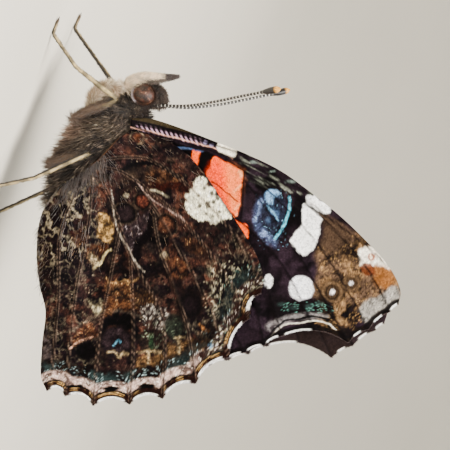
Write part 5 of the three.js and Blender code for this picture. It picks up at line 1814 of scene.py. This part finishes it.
class ADMIRAL_OT_stage(bpy.types.Operator):
    """Set up the pale floor, the soft lights and the camera"""

    bl_idname = "admiral.stage"
    bl_label = "Stage"

    def execute(self, context):
        look = context.scene.admiral_stage
        self.floor(look)
        self.light("key_light", look.key, KEY_AT, 0.22, (1.0, 0.96, 0.9))
        self.light("fill_light", look.fill, FILL_AT, 0.26, (0.96, 0.98, 1.0))
        self.light("back_light", look.fill * 0.8, BACK_AT, 0.2, (1.0, 0.97, 0.93))
        world = bpy.data.worlds.new("studio")
        world.use_nodes = True
        world.node_tree.nodes["Background"].inputs["Color"].default_value = (*rgb("#dfe0dc"), 1)
        world.node_tree.nodes["Background"].inputs["Strength"].default_value = 0.3
        context.scene.world = world
        self.camera(context, look)
        return {"FINISHED"}

    def floor(self, look):
        bpy.ops.object.select_all(action="DESELECT")
        bpy.ops.mesh.primitive_grid_add(x_subdivisions=80, y_subdivisions=4, size=2)
        floor = bpy.context.object
        floor.name = "floor"
        at = points_of(floor.data)
        run = -at[:, 0] * 0.8 - 0.05
        bend = np.clip((run - FLOOR_FLAT) / BEND_LONG, 0, 1) * np.pi / 2
        past = run > FLOOR_FLAT
        rise = np.where(past, BEND_RADIUS * (1 - np.cos(bend)), 0)
        rise += np.maximum(run - FLOOR_FLAT - BEND_LONG, 0)
        reach = np.where(past, FLOOR_FLAT + BEND_RADIUS * np.sin(bend), run)
        at[:, 0] = -reach
        at[:, 1] *= 1.2
        at[:, 2] = rise
        floor.data.vertices.foreach_set("co", at.ravel())
        floor.data.update()
        bpy.ops.object.shade_smooth()
        material, tree, shader = new_material("painted_floor")
        # Plain matt paint with the faintest unevenness.
        place = add_node(tree, "ShaderNodeTexCoord").outputs["Object"]
        noise = add_node(tree, "ShaderNodeTexNoise", {"Vector": place, "Scale": 40.0, "Detail": 2.0})
        mixed = add_node(tree, "ShaderNodeMix", {
            "Factor": noise.outputs["Fac"], "A": (*look.floor, 1), "B": (*[c * 0.94 for c in look.floor], 1)},
            data_type="RGBA")
        fill_in(tree, shader, {"Base Color": mixed.outputs["Result"], "Roughness": 0.9})
        floor.data.materials.clear()
        floor.data.materials.append(material)

    def light(self, name, power, at, size, colour):
        lamp = bpy.data.lights.new(name, "AREA")
        lamp.energy = power
        lamp.size = size
        lamp.color = colour
        obj = bpy.data.objects.new(name, lamp)
        bpy.context.scene.collection.objects.link(obj)
        obj.location = at
        aim = Vector((0.0, 0.0, 0.02)) - Vector(at)
        obj.rotation_euler = aim.to_track_quat("-Z", "Y").to_euler()

    def camera(self, context, look):
        """The side view: turned so that the head is up and the wings point to the right."""
        rise = np.radians(CAMERA_RISE)
        back = Vector((np.cos(rise), 0.0, np.sin(rise)))
        right = Vector(VIEW_RIGHT)
        right = (right - back * right.dot(back)).normalized()
        up = back.cross(right)
        middle = Vector(metres(VIEW_MIDDLE))
        data = bpy.data.cameras.new("camera")
        data.sensor_fit = "HORIZONTAL"
        data.lens = data.sensor_width * look.distance / (VIEW_WIDE * MM)
        data.clip_start = 0.005
        data.clip_end = 10
        camera = bpy.data.objects.new("camera", data)
        context.scene.collection.objects.link(camera)
        turn = Matrix((right, up, back)).transposed().to_4x4()
        camera.matrix_world = Matrix.Translation(middle + back * look.distance) @ turn
        context.scene.camera = camera


class ADMIRAL_PT_panel(bpy.types.Panel):
    """Lists the pieces of the red admiral"""

    bl_label = "Red Admiral"
    bl_space_type = "VIEW_3D"
    bl_region_type = "UI"
    bl_category = "Red Admiral"

    def draw(self, context):
        for kind in OPERATORS:
            self.layout.operator(kind.bl_idname)
        for group in ("admiral_wings", "admiral_coat", "admiral_stage"):
            look = getattr(context.scene, group)
            box = self.layout.box()
            for name in look.__annotations__:
                box.prop(look, name)


LOOKS = (("admiral_wings", WingLook), ("admiral_coat", CoatLook), ("admiral_stage", StageLook))
OPERATORS = (ADMIRAL_OT_forewings, ADMIRAL_OT_hindwings, ADMIRAL_OT_body, ADMIRAL_OT_head,
             ADMIRAL_OT_feelers, ADMIRAL_OT_legs, ADMIRAL_OT_stage)


def register():
    for name, kind in LOOKS:
        bpy.utils.register_class(kind)
        setattr(bpy.types.Scene, name, bpy.props.PointerProperty(type=kind))
    for kind in OPERATORS + (ADMIRAL_PT_panel,):
        bpy.utils.register_class(kind)


def unregister():
    for kind in reversed(OPERATORS + (ADMIRAL_PT_panel,)):
        bpy.utils.unregister_class(kind)
    for name, kind in reversed(LOOKS):
        delattr(bpy.types.Scene, name)
        bpy.utils.unregister_class(kind)


def main():
    register()
    bpy.ops.admiral.forewings()
    bpy.ops.admiral.hindwings()
    bpy.ops.admiral.body()
    bpy.ops.admiral.head()
    bpy.ops.admiral.feelers()
    bpy.ops.admiral.legs()
    bpy.ops.admiral.stage()


if __name__ == "__main__":
    main()
